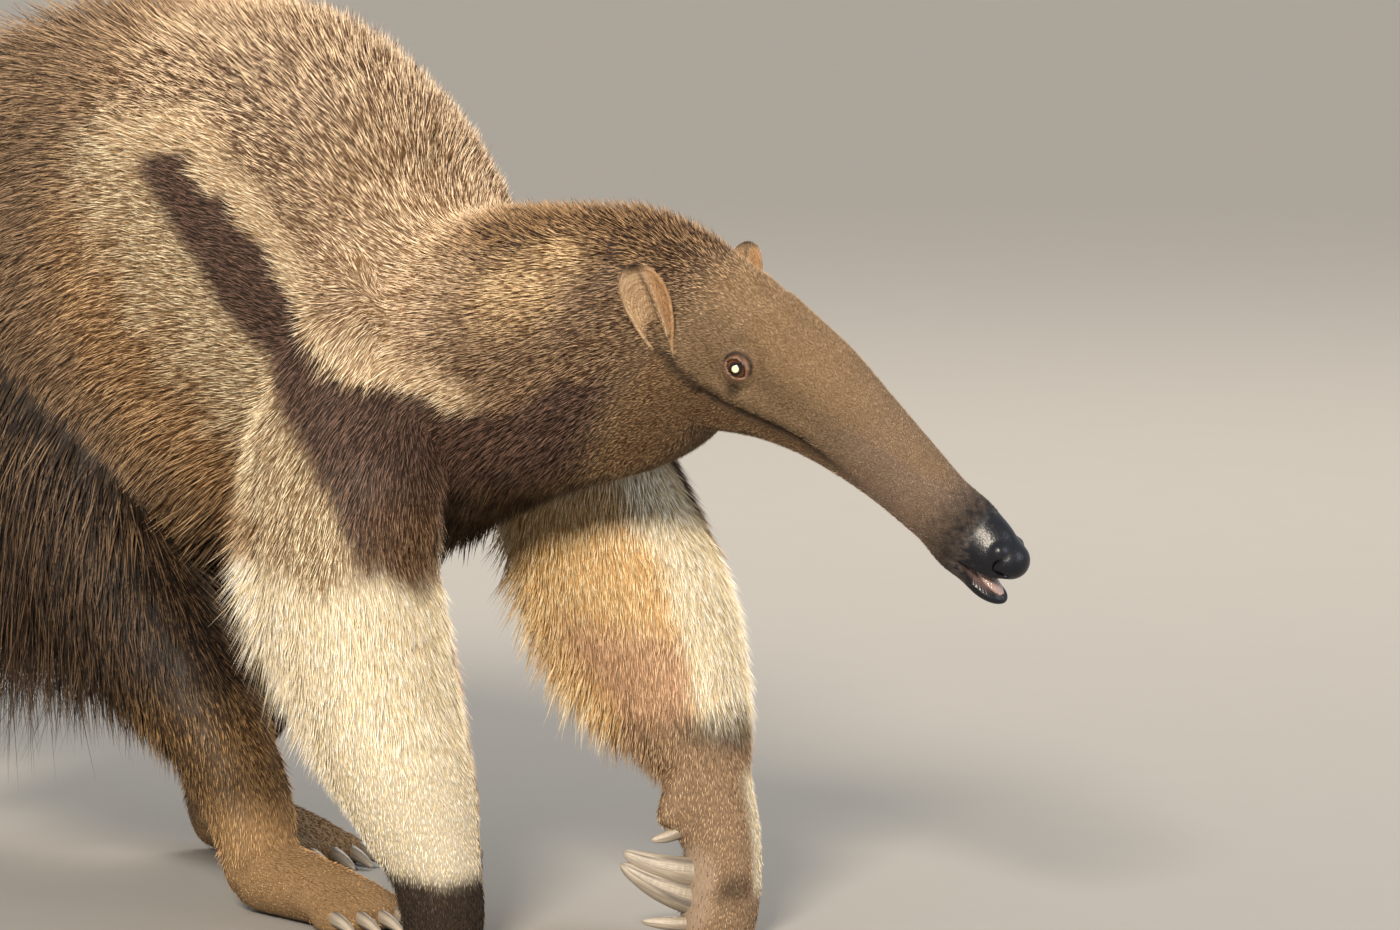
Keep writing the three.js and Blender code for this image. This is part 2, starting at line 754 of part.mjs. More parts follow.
// Feet: flat soles with five short toes
const TOE_ROOT = 96; // how far in front of the ankle the toes start
const TOES = [
  { across: -27, reach: 16 },
  { across: -14, reach: 26 },
  { across: 0, reach: 30 },
  { across: 14, reach: 28 },
  { across: 27, reach: 20 },
];
function toe([x, y], side, { across, reach }) {
  const [root, out] = [x + TOE_ROOT, y + side * across];
  return new Loft(
    [
      { at: [root, out, 13], side: 8, up: 9, down: 16 },
      { at: [root + reach, y + side * across * 1.08, 11], side: 8, up: 9, down: 14 },
      { at: [root + reach + 8, y + side * across * 1.1, 8], side: 4.5, up: 5, down: 10 },
    ],
    { sides: 6, steps: 1 },
  );
}
function foot(ankle, ground, side) {
  const [x, y] = ground;
  const sole = new Loft(
    [
      { at: [x - 20, y, 16], side: 17, up: 16, down: 20 },
      { at: [x, y, 24], side: 28, up: 26, down: 28 },
      { at: [x + 44, y, 22], side: 31, up: 22, down: 26 },
      { at: [x + 92, y, 17], side: 35, up: 15, down: 21 },
      { at: [x + 116, y, 13], side: 33, up: 10, down: 17 },
    ],
    { sides: 10, steps: 1 },
  );
  const heel = new Loft(
    [
      section([ankle[0], ankle[1], ankle[2] + 16], 29, 30, 33),
      section([ankle[0] + 2, ankle[1], 34], 28, 32, 30),
      section([ankle[0] + 4, ankle[1], 14], 24, 30, 24),
    ],
    { lead: FRONT, sides: 8, steps: 1 },
  );
  const toes = TOES.map((one) => toe(ground, side, one).solid());
  return aboveFloor(joined([sole.solid(), heel.solid(), ...toes]));
}
// Limbs: each is parted at its middle joint and ends at the wrist or the ankle
const WRIST = new THREE.Vector3(0, 0, 74);
const ANKLE = new THREE.Vector3(0, 0, 58);
const JOINTS = {
  right_arm: { form: rightArm, bend: [-72, -103, 226], facing: [0.5, 0, -1], end: WRIST },
  left_arm: { form: leftArm, bend: [-40, 99, 228], facing: [0.5, 0, -1], end: WRIST },
  right_leg: { form: rightLeg, bend: [-344, -106, 226], facing: [0.7, 0, -1], end: ANKLE },
  left_leg: { form: leftLeg, bend: [-414, 104, 222], facing: [0, 0, -1], end: ANKLE },
};

// The upper and the lower length of a limb, each with the locks that grow from it.
function parted({ form, bend, facing, end }, upperLocks = [], lowerLocks = []) {
  const [at, down] = [vector(bend), vector(facing).normalize()];
  const up = down.clone().negate();
  const grown = form.solid(GAP);
  const above = beyond(grown, at.clone().addScaledVector(down, GAP), up);
  const below = beyond(grown, at.clone().addScaledVector(up, GAP), down);
  const past = beyond(grown, end.clone().addScaledVector(UP, GAP), DOWN);
  const dress = (plain, locks, ...others) =>
    locks.length ? plain.add(without(lockSolids(locks), ...others)) : plain;
  const clear = (solid) => aboveFloor(without(solid, grownTorso));
  const upper = clear(dress(beyond(form.solid(), at, up), upperLocks, below));
  const lowerForm = beyond(beyond(form.solid(), at, down), end, UP);
  const upperReach = upperLocks.length ? [lockSolids(upperLocks, GAP)] : [];
  const lower = clear(dress(lowerForm, lowerLocks, above, past, ...upperReach));
  return { upper, lower };
}

addNode("torso", torso, COAT);
addNode("neck", neck, COAT);
addNode("head", head, FACE);
addNode("lower_jaw", without(jaw.solid(), mouthGap(), tongue.solid(GAP)), NOSE_SKIN);
addNode("tongue", tongue.solid(), TONGUE_SKIN);
for (const [name, side] of [["left", 1], ["right", -1]]) {
  addNode(`eye_${name}`, eyeball(side), EYE);
  const grownHead = beyond(body.solid(GAP), NECK_END, neckEndFacing);
  addNode(`ear_${name}`, without(ear(side), grownHead, body.solid(GAP)), FACE);
}

const rightArmParts = parted(JOINTS.right_arm, limbLocks.upper_arm_right, limbLocks.forearm_right);
addNode("upper_arm_right", rightArmParts.upper, COAT);
addNode("forearm_right", rightArmParts.lower, PALE_COAT);
const leftArmParts = parted(JOINTS.left_arm, limbLocks.upper_arm_left, limbLocks.forearm_left);
addNode("upper_arm_left", leftArmParts.upper, COAT);
addNode("forearm_left", leftArmParts.lower, PALE_COAT);
const rightLegParts = parted(JOINTS.right_leg, limbLocks.thigh_right);
addNode("thigh_right", rightLegParts.upper, DARK_COAT);
addNode("shank_right", rightLegParts.lower, DARK_COAT);
const leftLegParts = parted(JOINTS.left_leg, limbLocks.thigh_left, limbLocks.shank_left);
addNode("thigh_left", leftLegParts.upper, DARK_COAT);
addNode("shank_left", leftLegParts.lower, DARK_COAT);

// Hands and their claws
const WRIST_MIDDLE = { right: [8, -93, 66], left: [79, 87, 84] };
const HAND_GROUND = { right: [18, -TRACK - 3], left: [82, TRACK] };
const CLAWS = [
  { name: "first", root: [-6, -14, 64], reach: 24, rise: -4, bow: 2, wide: 4, tall: 5 },
  { name: "second", root: [-6, -8, 43], reach: 50, rise: 14, bow: 5, wide: 6, tall: 7.5 },
  { name: "third", root: [-7, -8, 27], reach: 52, rise: 17, bow: 6, wide: 7.5, tall: 8.6 },
  { name: "fourth", root: [-10, -12, 11], reach: 34, rise: 2, bow: 1, wide: 5, tall: 5 },
];
const CLAW_HEADING = [-0.55, -0.83]; // back and inwards
for (const [name, side] of [["left", 1], ["right", -1]]) {
  const [x, y] = HAND_GROUND[name];
  const form = hand(WRIST_MIDDLE[name], HAND_GROUND[name], side);
  const fist = aboveFloor(beyond(form.solid(), WRIST, DOWN));
  const solid = without(fist, lockSolids(limbLocks[`forearm_${name}`], GAP));
  addNode(`hand_${name}`, solid, name === "left" ? FACE : DARK_COAT);
  const kept = [form.solid(GAP)];
  for (const { name: which, root, reach, rise, bow, wide, tall } of CLAWS) {
    const [back, inward] = CLAW_HEADING;
    const from = [x + root[0], y + side * root[1], root[2]];
    const to = [from[0] + back * reach, from[1] + side * inward * reach, from[2] + rise];
    const nail = claw(from, to, bow, wide, tall);
    addNode(`claw_${which}_${name}`, without(nail.solid(), ...kept), HORN);
    kept.push(nail.solid(GAP));
  }
}

// Feet and their claws
const ANKLE_MIDDLE = { right: [-206, -80, 60], left: [-486, 87, 62] };
const FOOT_GROUND = { right: [-196, -TRACK + 8], left: [-480, TRACK + 1] };
for (const [name, side] of [["left", 1], ["right", -1]]) {
  const [x, y] = FOOT_GROUND[name];
  const whole = foot(ANKLE_MIDDLE[name], FOOT_GROUND[name], side);
  const solid = beyond(whole, ANKLE, DOWN);
  addNode(`foot_${name}`, solid, DARK_COAT);
  TOES.forEach((one, i) => {
    const [root, out] = [x + TOE_ROOT + one.reach, side * one.across];
    const nail = claw([root - 4, y + out * 1.08, 11], [root + 28, y + out * 1.16, 2], -4, 4.4, 5.2, 5);
    const grownToe = toe([x, y], side, one).solid(GAP);
    addNode(`toenail_${i + 1}_${name}`, aboveFloor(without(nail.solid(), grownToe)), HORN);
  });
}

// Tail in three lengths, parted along the lie of its hair
const TAIL_CUTS = [new THREE.Vector3(-846, -16, 330), new THREE.Vector3(-1070, -42, 226)];
const TAIL_FACING = new THREE.Vector3(0.86, 0, -0.5);
const wholeTail = aboveFloor(without(tailCore.solid().add(lockSolids(tailLocks)), grownTorso));
const tailBack = TAIL_FACING.clone().negate();
addNode("tail_root", beyond(wholeTail, TAIL_CUTS[0], TAIL_FACING), DARK_COAT);
const pastRoot = beyond(wholeTail, TAIL_CUTS[0], tailBack);
addNode("tail_middle", beyond(pastRoot, TAIL_CUTS[1], TAIL_FACING), DARK_COAT);
addNode("tail_end", beyond(pastRoot, TAIL_CUTS[1], tailBack), DARK_COAT);

// The model stands over its own origin: the middle of its box, on the floor
const anteater = new THREE.Group();
anteater.name = "giant_anteater";
anteater.add(...meshes);
const box = new THREE.Box3().setFromObject(anteater);
const middle = box.getCenter(new THREE.Vector3());
anteater.position.set(-middle.x, -middle.y, 0);

export default anteater;
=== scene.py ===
"""The looks of a life-size giant anteater in mid-stride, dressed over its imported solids.

Sizes are millimetres in the animal's own frame, as in its CAD source: +X towards the head, +Y to its
left, +Z up and the floor at 0. `Stance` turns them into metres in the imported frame.
"""

import json
import logging
import math
from dataclasses import dataclass, field
from enum import Enum, IntEnum
from functools import partial
from typing import Callable, Iterable, Sequence

import bmesh
import bpy
import numpy as np
from bmesh.types import BMesh, BMFace
from bpy.types import Material, Mesh, Node, NodeSocket, NodeTree, Object
from mathutils import Matrix, Vector

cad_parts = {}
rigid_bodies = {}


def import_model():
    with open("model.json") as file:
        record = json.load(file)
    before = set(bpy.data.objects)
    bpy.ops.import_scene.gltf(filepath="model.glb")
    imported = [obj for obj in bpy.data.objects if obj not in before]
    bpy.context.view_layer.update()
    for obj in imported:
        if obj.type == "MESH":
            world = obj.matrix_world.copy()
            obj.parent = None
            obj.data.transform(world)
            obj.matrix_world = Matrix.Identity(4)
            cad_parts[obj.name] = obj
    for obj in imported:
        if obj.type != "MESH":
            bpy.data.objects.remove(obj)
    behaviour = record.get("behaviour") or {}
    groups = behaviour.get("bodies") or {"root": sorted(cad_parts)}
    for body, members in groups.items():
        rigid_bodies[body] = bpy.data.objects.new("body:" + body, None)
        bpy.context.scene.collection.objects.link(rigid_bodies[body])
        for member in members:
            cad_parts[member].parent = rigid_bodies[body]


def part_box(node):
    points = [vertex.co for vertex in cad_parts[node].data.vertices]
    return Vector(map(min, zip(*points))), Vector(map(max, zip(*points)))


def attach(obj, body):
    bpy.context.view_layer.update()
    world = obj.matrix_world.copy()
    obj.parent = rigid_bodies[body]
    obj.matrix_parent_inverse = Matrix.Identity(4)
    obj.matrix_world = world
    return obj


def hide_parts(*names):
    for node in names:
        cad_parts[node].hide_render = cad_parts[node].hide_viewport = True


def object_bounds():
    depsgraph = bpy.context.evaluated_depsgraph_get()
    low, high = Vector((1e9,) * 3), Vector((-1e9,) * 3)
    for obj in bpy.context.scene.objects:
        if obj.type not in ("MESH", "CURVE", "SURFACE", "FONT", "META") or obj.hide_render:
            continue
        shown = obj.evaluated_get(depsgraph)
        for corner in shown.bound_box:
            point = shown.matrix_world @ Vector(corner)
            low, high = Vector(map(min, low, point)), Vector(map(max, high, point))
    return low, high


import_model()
CAD_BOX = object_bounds()
LOG = logging.getLogger("anteater")

Array = np.ndarray
Put = Callable[..., Node | NodeSocket]

MM = 0.001
UP = np.array([0.0, 0.0, 1.0])
FRONT = np.array([1.0, 0.0, 0.0])
RIGHT, LEFT = -1, 1
SIDES = {RIGHT: "right", LEFT: "left"}
SEED = 7

# Driving dimensions, as in the CAD source
BACK_HEIGHT = 568.0
TRACK = 85.0
HEAD_TURN = math.radians(24)
HEAD_PITCH = math.radians(-33.4)
HEAD_ROLL = math.radians(8)
EAR_POINT = np.array([130.0, 45.0, 410.0])

# The way back and down across the stripe, along x and z
BEHIND = (-0.648, -0.761)


# Small mathematics


def unit(vectors: Array) -> Array:
    """Scales vectors, along the last axis, to length one."""
    return vectors / np.maximum(np.linalg.norm(vectors, axis=-1, keepdims=True), 1e-9)


def ramp(value: Array, low: float, high: float) -> Array:
    """Rises smoothly from 0 at `low` to 1 at `high`, or falls where `low` is the larger."""
    t = np.clip((value - low) / (high - low), 0, 1)
    return t * t * (3 - 2 * t)


def bell(value: Array, centre: float, reach: float) -> Array:
    """A smooth hump of height 1 that fades out at `reach` on both sides of its centre."""
    return ramp(np.abs(value - centre), reach, 0)


def ripple(points: Array, grain: float, seed: int) -> Array:
    """Smooth noise of about -1 to 1 made of crossing waves.

    Args:
        points: places, in millimetres, one a row.
        grain: the size of a patch, in millimetres.
        seed: picks the waves.

    Returns:
        One value a point.
    """
    random = np.random.default_rng(seed)
    total = np.zeros(len(points))
    waves = 7
    for _ in range(waves):
        way = unit(random.normal(size=3)) * (2 * math.pi / grain) * random.uniform(0.35, 1.0)
        total += np.sin(points @ way + random.uniform(0, 2 * math.pi))
    return total / math.sqrt(waves)


def curve(points: Array, shares: Array) -> Array:
    """Places on a centripetal Catmull-Rom curve, the one that the CAD source uses.

    Args:
        points: the points that it passes, one a row.
        shares: shares of the way, 0 to 1, each stretch between two points counting alike.

    Returns:
        One place a share.
    """
    last = len(points) - 1
    way = np.clip(shares, 0, 1) * last
    index = np.minimum(way.astype(int), last - 1)
    weight = (way - index)[:, None]
    padded = np.vstack([2 * points[0] - points[1], points, 2 * points[-1] - points[-2]])
    p0, p1, p2, p3 = (padded[index + k] for k in range(4))
    gaps = [np.sqrt(np.linalg.norm(b - a, axis=1, keepdims=True)) for a, b in ((p0, p1), (p1, p2), (p2, p3))]
    d1 = np.where(gaps[1] < 1e-4, 1.0, gaps[1])
    d0 = np.where(gaps[0] < 1e-4, d1, gaps[0])
    d2 = np.where(gaps[2] < 1e-4, d1, gaps[2])
    t1 = d1 * ((p1 - p0) / d0 - (p2 - p0) / (d0 + d1) + (p2 - p1) / d1)
    t2 = d1 * ((p2 - p1) / d1 - (p3 - p1) / (d1 + d2) + (p3 - p2) / d2)
    square, cube = weight**2, weight**3
    return p1 + t1 * weight + (3 * (p2 - p1) - 2 * t1 - t2) * square + (2 * (p1 - p2) + t1 + t2) * cube


class Loft:
    """A form swept along a curve, its section an oval that changes from station to station."""

    SAMPLES = 220

    def __init__(self, stations: Sequence[tuple], lead: Array = UP, pear: float = 0.0) -> None:
        """Keeps the stations.

        Args:
            stations: rows of a place and the half sizes to the side, up and down.
            lead: the direction that the upper side of every section faces.
            pear: how much wider the lower half is than the upper one.
        """
        rows = np.array(stations, float)
        self.places, self.halves = rows[:, :3], rows[:, 3:]
        self.lead, self.pear = lead, pear
        self.shares = np.linspace(0, 1, self.SAMPLES)
        self.axis, self.ahead, self.side, self.up, self.size = self.section(self.shares)

    def section(self, shares: Array) -> tuple[Array, ...]:
        """Cuts the form across at some places along it.

        Args:
            shares: shares of the way, 0 to 1.

        Returns:
            The middles, the ways ahead, sideways and up, and the half sizes.
        """
        step = 1e-4
        middle = curve(self.places, shares)
        ahead = unit(curve(self.places, shares + step) - curve(self.places, shares - step))
        side = unit(np.cross(self.lead, ahead))
        up = np.cross(ahead, side)
        return middle, ahead, side, up, curve(self.halves, shares)

    def points(self, shares: Array, angles: Array, depth: float | Array = 0.0) -> Array:
        """Places on the surface, or under it.

        Args:
            shares: shares of the way along.
            angles: angles round the section, from its side, a quarter turn being up.
            depth: how far under the surface, in millimetres.

        Returns:
            One place a pair.
        """
        middle, _, side, up, half = self.section(shares)
        across, high = np.cos(angles), np.sin(angles)
        width = np.maximum(half[:, 0] - depth, 1) * (1 - self.pear * high) * across
        tall = np.maximum(np.where(high > 0, half[:, 1], half[:, 2]) - depth, 1) * high
        return middle + side * width[:, None] + up * tall[:, None]

    def seek(self, points: Array) -> tuple[Array, Array, Array]:
        """Finds where some places are on the form.

        Args:
            points: places in millimetres, one a row.

        Returns:
            The share along, the angle round, and how far out they are, 1 being on the surface.
        """
        share = np.empty(len(points))
        block = 8000
        for start in range(0, len(points), block):
            some = points[start : start + block]
            gap = ((some[:, None, :] - self.axis[None]) ** 2).sum(2)
            share[start : start + block] = self.shares[gap.argmin(1)]
        middle, ahead, side, up, half = self.section(share)
        pace = np.linalg.norm(np.gradient(self.axis, axis=0), axis=1) * (self.SAMPLES - 1)
        extra = ((points - middle) * ahead).sum(1) / np.maximum(np.interp(share, self.shares, pace), 1)
        beyond = np.where((share <= 0) | (share >= 1), np.abs(extra), 0)
        share = np.clip(share + extra, 0, 1)
        middle, ahead, side, up, half = self.section(share)
        away = points - middle
        across, high = (away * side).sum(1), (away * up).sum(1)
        along = (away * ahead).sum(1)
        tall = np.where(high > 0, half[:, 1], half[:, 2])
        wide = half[:, 0] * (1 - self.pear * np.clip(high / tall, -1, 1))
        angle = np.arctan2(high / tall, across / wide)
        ratio = np.sqrt((across / wide) ** 2 + (high / tall) ** 2 + (along / np.minimum(tall, wide)) ** 2)
        return share, angle, ratio + beyond

    def mesh(self, rings: int, sides: int, depth: float | Array = 0.0, to: float = 1.0) -> "Shape":
        """The closed surface of the form.

        Args:
            rings: how many rings of points it has.
            sides: how many points a ring has.
            depth: how far under its outside it lies, in millimetres, the same for all rings or one a ring.
            to: the share at which it ends.

        Returns:
            The surface, closed at both ends.
        """
        shares = np.repeat(np.linspace(0, to, rings), sides)
        angles = np.tile(np.linspace(0, 2 * math.pi, sides, endpoint=False), rings)
        deep = np.repeat(np.broadcast_to(depth, rings), sides)
        return tube(self.points(shares, angles, deep).reshape(rings, sides, 3))


@dataclass
class Shape:
    """Vertices in millimetres and the faces between them."""

    places: Array
    faces: list[tuple[int, ...]]

    @staticmethod
    def joined(shapes: Iterable["Shape"]) -> "Shape":
        """Puts shapes side by side in one.

        Args:
            shapes: the shapes.

        Returns:
            One shape of them all.
        """
        places, faces, start = [], [], 0
        for shape in shapes:
            places.append(shape.places)
            faces += [tuple(i + start for i in face) for face in shape.faces]
            start += len(shape.places)
        return Shape(np.vstack(places), faces)


def tube(rings: Array, open_start: bool = False, open_end: bool = False) -> Shape:
    """Joins rings of points into a closed tube.

    Args:
        rings: an array of rings, sides and coordinates.
        open_start: leaves the first ring open.
        open_end: leaves the last ring open.

    Returns:
        The tube, its faces outwards where the sides turn left about the way along.
    """
    count, sides = rings.shape[:2]
    places = rings.reshape(-1, 3)
    faces: list[tuple[int, ...]] = []
    for i in range(count - 1):
        for j in range(sides):
            a, b = i * sides + j, i * sides + (j + 1) % sides
            faces.append((a, b, b + sides, a + sides))
    extra = []
    if not open_start:
        extra.append(rings[0].mean(0))
        middle = len(places)
        faces += [((j + 1) % sides, j, middle) for j in range(sides)]
    if not open_end:
        extra.append(rings[-1].mean(0))
        middle = len(places) + len(extra) - 1
        start = (count - 1) * sides
        faces += [(start + j, start + (j + 1) % sides, middle) for j in range(sides)]
    return Shape(np.vstack([places, *[e[None] for e in extra]]), faces)


def egg(centre: Sequence[float], halves: Sequence[float]) -> Shape:
    """An ellipsoid along the axes, for the masses of muscle under the skin.

    Args:
        centre: its middle.
        halves: its half sizes.

    Returns:
        The closed surface.
    """
    rings, sides = 15, 24
    polar = np.linspace(0.12, math.pi - 0.12, rings)
    around = np.linspace(0, 2 * math.pi, sides, endpoint=False)
    out, high = np.sin(polar)[:, None], -np.cos(polar)[:, None] * np.ones(sides)
    places = np.stack([out * np.cos(around), out * np.sin(around), high], axis=2) * np.array(halves)
    return tube(places + np.array(centre))


# The animal's own frame, its head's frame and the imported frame


def head_axes() -> Array:
    """Works out the head's own directions.

    Returns:
        Along it to the nose, to its left, and up from its axis, one a row.
    """
    flat = math.cos(HEAD_PITCH)
    along = np.array([math.cos(HEAD_TURN) * flat, math.sin(HEAD_TURN) * flat, math.sin(HEAD_PITCH)])
    level = np.array([-math.sin(HEAD_TURN), math.cos(HEAD_TURN), 0.0])
    left = level * math.cos(HEAD_ROLL) + np.cross(along, level) * math.sin(HEAD_ROLL)
    return np.array([along, left, np.cross(along, left)])


HEAD_AXES = head_axes()


def on_head(points: Array | Sequence[float]) -> Array:
    """Turns places in the head's frame into places in the animal's."""
    return np.asarray(points, float) @ HEAD_AXES + EAR_POINT


def from_head(points: Array) -> Array:
    """Turns places in the animal's frame into places in the head's."""
    return (points - EAR_POINT) @ HEAD_AXES.T


@dataclass(frozen=True)
class Stance:
    """Where the animal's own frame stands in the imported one."""

    shift: Array

    @staticmethod
    def found(eye: "Eye") -> "Stance":
        """Reads the shift from the right eye, whose middle both frames know.

        Args:
            eye: the eye's sizes.

        Returns:
            The stance.
        """
        low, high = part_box("eye_right")
        middle = np.array((low + high) / 2) / MM
        return Stance(middle - eye.middle(RIGHT))

    def placed(self, points: Array) -> Array:
        """Turns millimetres in the animal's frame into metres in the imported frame."""
        return (points + self.shift) * MM

    def read(self, points: Array) -> Array:
        """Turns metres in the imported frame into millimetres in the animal's frame."""
        return points / MM - self.shift


def mesh_object(name: str, shape: Shape, stance: Stance) -> Object:
    """Makes an object of a shape, its place in its mesh.

    Args:
        name: the object's name.
        shape: vertices in millimetres and faces.
        stance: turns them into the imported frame.

    Returns:
        The object, linked to the scene, smooth and with its faces outwards.
    """
    mesh = bpy.data.meshes.new(name)
    mesh.from_pydata(stance.placed(shape.places).tolist(), [], shape.faces)
    mesh.update()
    bm = bmesh.new()
    bm.from_mesh(mesh)
    bmesh.ops.recalc_face_normals(bm, faces=bm.faces)
    bm.to_mesh(mesh)
    bm.free()
    mesh.shade_smooth()
    return linked(name, mesh)


def linked(name: str, data: bpy.types.ID) -> Object:
    """Makes an object and links it to the scene.

    Args:
        name: the object's name.
        data: its mesh, light or camera.

    Returns:
        The object, at the origin.
    """
    thing = bpy.data.objects.new(name, data)
    bpy.context.scene.collection.objects.link(thing)
    return thing


def values_of(items: Sequence, key: str, kind: type = np.int32, size: int = 1) -> Array:
    """Reads one property of all items of a mesh.

    Args:
        items: the mesh's vertices, edges, faces, corners or attribute values.
        key: the property.
        kind: the type of its numbers.
        size: how many numbers an item has.

    Returns:
        The numbers, item after item.
    """
    flat = np.empty(len(items) * size, kind)
    items.foreach_get(key, flat)
    return flat


# Forms of the body


@dataclass
class Trunk:
    """The body from the rump to the nose, as one form, and the tail behind it."""

    pear: float = 0.12
    trunk: tuple = (  # x, y, the top above BACK_HEIGHT, the bottom and the half width
        (-668, 0, -132, 352, 34), (-640, 0, -70, 292, 76), (-570, 0, -14, 242, 116), (-480, 0, 12, 226, 130),
        (-380, 0, 23, 214, 137), (-290, 0, 24, 206, 138), (-205, 0, -8, 210, 128), (-130, 0, -68, 238, 114),
        (-72, 0, -96, 265, 99), (-22, 2, -93, 284, 86), (30, 9, -89, 290, 72), (84, 26, -88, 304, 60),
    )
    head: tuple = (  # the place along the head, its top, its bottom and its half width
        (16, 48, -80, 49), (52, 46, -54, 43), (92, 43, -37, 37), (130, 35, -29.5, 32), (166, 28, -27.5, 28),
        (200, 21, -29, 25), (230, 18, -31, 21), (252, 13, -27, 17), (264, 4.5, -18, 11),
    )
    tail: tuple = (  # x, y, z, the half height and the half width
        (-640, 0, 421, 52, 50), (-690, 0, 396, 62, 54), (-790, -8, 340, 66, 50), (-900, -22, 276, 64, 46),
        (-1030, -38, 216, 56, 42), (-1170, -48, 170, 46, 36), (-1310, -52, 126, 34, 26),
        (-1400, -52, 92, 18, 12),
    )

    def body(self) -> Loft:
        """Joins the trunk's stations and the head's in one form.

        Returns:
            The form, its share 0 at the rump and 1 at the nose.
        """
        rows = []
        for x, y, rise, bottom, side in self.trunk:
            top = BACK_HEIGHT + rise
            half = (top - bottom) / 2
            rows.append((x, y, (top + bottom) / 2, side, half, half))
        for along, top, bottom, side in self.head:
            half = (top - bottom) / 2
            rows.append((*on_head((along, 0, (top + bottom) / 2)), side, half, half))
        return Loft(rows, UP, self.pear)

    def tail_form(self) -> Loft:
        """The bone and flesh of the tail with its dense under-hair."""
        return Loft([(x, y, z, side, half, half) for x, y, z, half, side in self.tail])


@dataclass
class Legs:
    """The four legs, from inside the trunk to the folded hands and the heels.

    Each row is a place and the half sizes to the side, the front and the back.
    """

    fore_right: tuple = (
        (-96, -70, 372, 44, 66, 70), (-92, -92, 300, 52, 96, 76), (-76, -103, 236, 56, 88, 74),
        (-50, -103, 190, 55, 70, 66), (-22, -100, 132, 50, 58, 58), (2, -95, 84, 42, 46, 46),
        (16, -92, 48, 31, 37, 38), (19, -89, 22, 29, 35, 37), (18, -87, -6, 26, 29, 32),
    )
    fore_left: tuple = (
        (-84, 70, 372, 44, 62, 66), (-72, 90, 300, 50, 76, 84), (-44, 99, 238, 50, 80, 92),
        (0, 99, 190, 46, 72, 80), (44, 94, 138, 38, 50, 48), (72, 89, 96, 29, 32, 32),
        (82, 89, 58, 27, 34, 33), (83, 87, 28, 27, 36, 36), (82, 84, -6, 26, 29, 32),
    )
    hind_right: tuple = (
        (-498, -62, 392, 60, 84, 84), (-448, -92, 320, 52, 84, 88), (-362, -107, 244, 46, 74, 80),
        (-290, -103, 180, 41, 56, 56), (-240, -91, 122, 36, 44, 42), (-208, -81, 66, 31, 33, 34),
        (-203, -79, 20, 26, 30, 27),
    )
    hind_left: tuple = (
        (-512, 62, 392, 60, 84, 84), (-462, 92, 312, 52, 86, 88), (-414, 104, 230, 46, 72, 76),
        (-420, 101, 164, 40, 54, 54), (-456, 92, 112, 34, 40, 40), (-484, 87, 66, 31, 32, 34),
        (-486, 87, 20, 26, 30, 27),
    )

    def fore(self) -> dict[int, Loft]:
        """The forms of the forelegs by side, led by their fronts."""
        return {RIGHT: Loft(self.fore_right, FRONT), LEFT: Loft(self.fore_left, FRONT)}

    def hind(self) -> dict[int, Loft]:
        """The forms of the hind legs by side, led by their fronts."""
        return {RIGHT: Loft(self.hind_right, FRONT), LEFT: Loft(self.hind_left, FRONT)}


@dataclass
class Foot:
    """A hind foot flat on the floor, with five toes and their nails."""

    side: int
    ground: tuple[float, float]
    toes: tuple[tuple[float, float], ...] = ((-27, 16), (-14, 26), (0, 30), (14, 28), (27, 20))

    def sole(self) -> Loft:
        """Shapes the foot from the heel to the root of the toes.

        Returns:
            The form.
        """
        x, y = self.ground
        rows = [(-20, 16, 17, 16, 20), (0, 24, 28, 26, 28), (44, 22, 31, 22, 26)]
        rows += [(92, 17, 35, 15, 21), (116, 13, 33, 10, 17)]
        return Loft([(x + dx, y, z, wide, up, down) for dx, z, wide, up, down in rows])

    def toe(self, across: float, reach: float) -> Loft:
        """Shapes one toe.

        Args:
            across: how far outwards it is, in millimetres.
            reach: how long it is, in millimetres.

        Returns:
            The form.
        """
        x, y = self.ground
        out = self.side * across
        rows = [(96, out, 13, 8, 9, 16), (96 + reach, out * 1.08, 11, 8, 9, 14)]
        rows.append((104 + reach, out * 1.1, 8, 4.5, 5, 10))
        return Loft([(x + dx, y + dy, z, wide, up, down) for dx, dy, z, wide, up, down in rows])

    def nail(self, across: float, reach: float) -> "Claw":
        """Shapes the nail of one toe.

        Args:
            across: how far outwards the toe is, in millimetres.
            reach: how long the toe is, in millimetres.

        Returns:
            The nail.
        """
        x, y = self.ground
        out = self.side * across
        root = (x + 90 + reach, y + out * 1.08, 11)
        tip = (x + 124 + reach, y + out * 1.16, 2)
        return Claw(root, tip, -4, 4.6, 5.4)

    def shapes(self) -> list[Shape]:
        """The sole and toes as closed surfaces."""
        return [self.sole().mesh(20, 32, 2)] + [self.toe(*toe).mesh(10, 14, 0.6) for toe in self.toes]


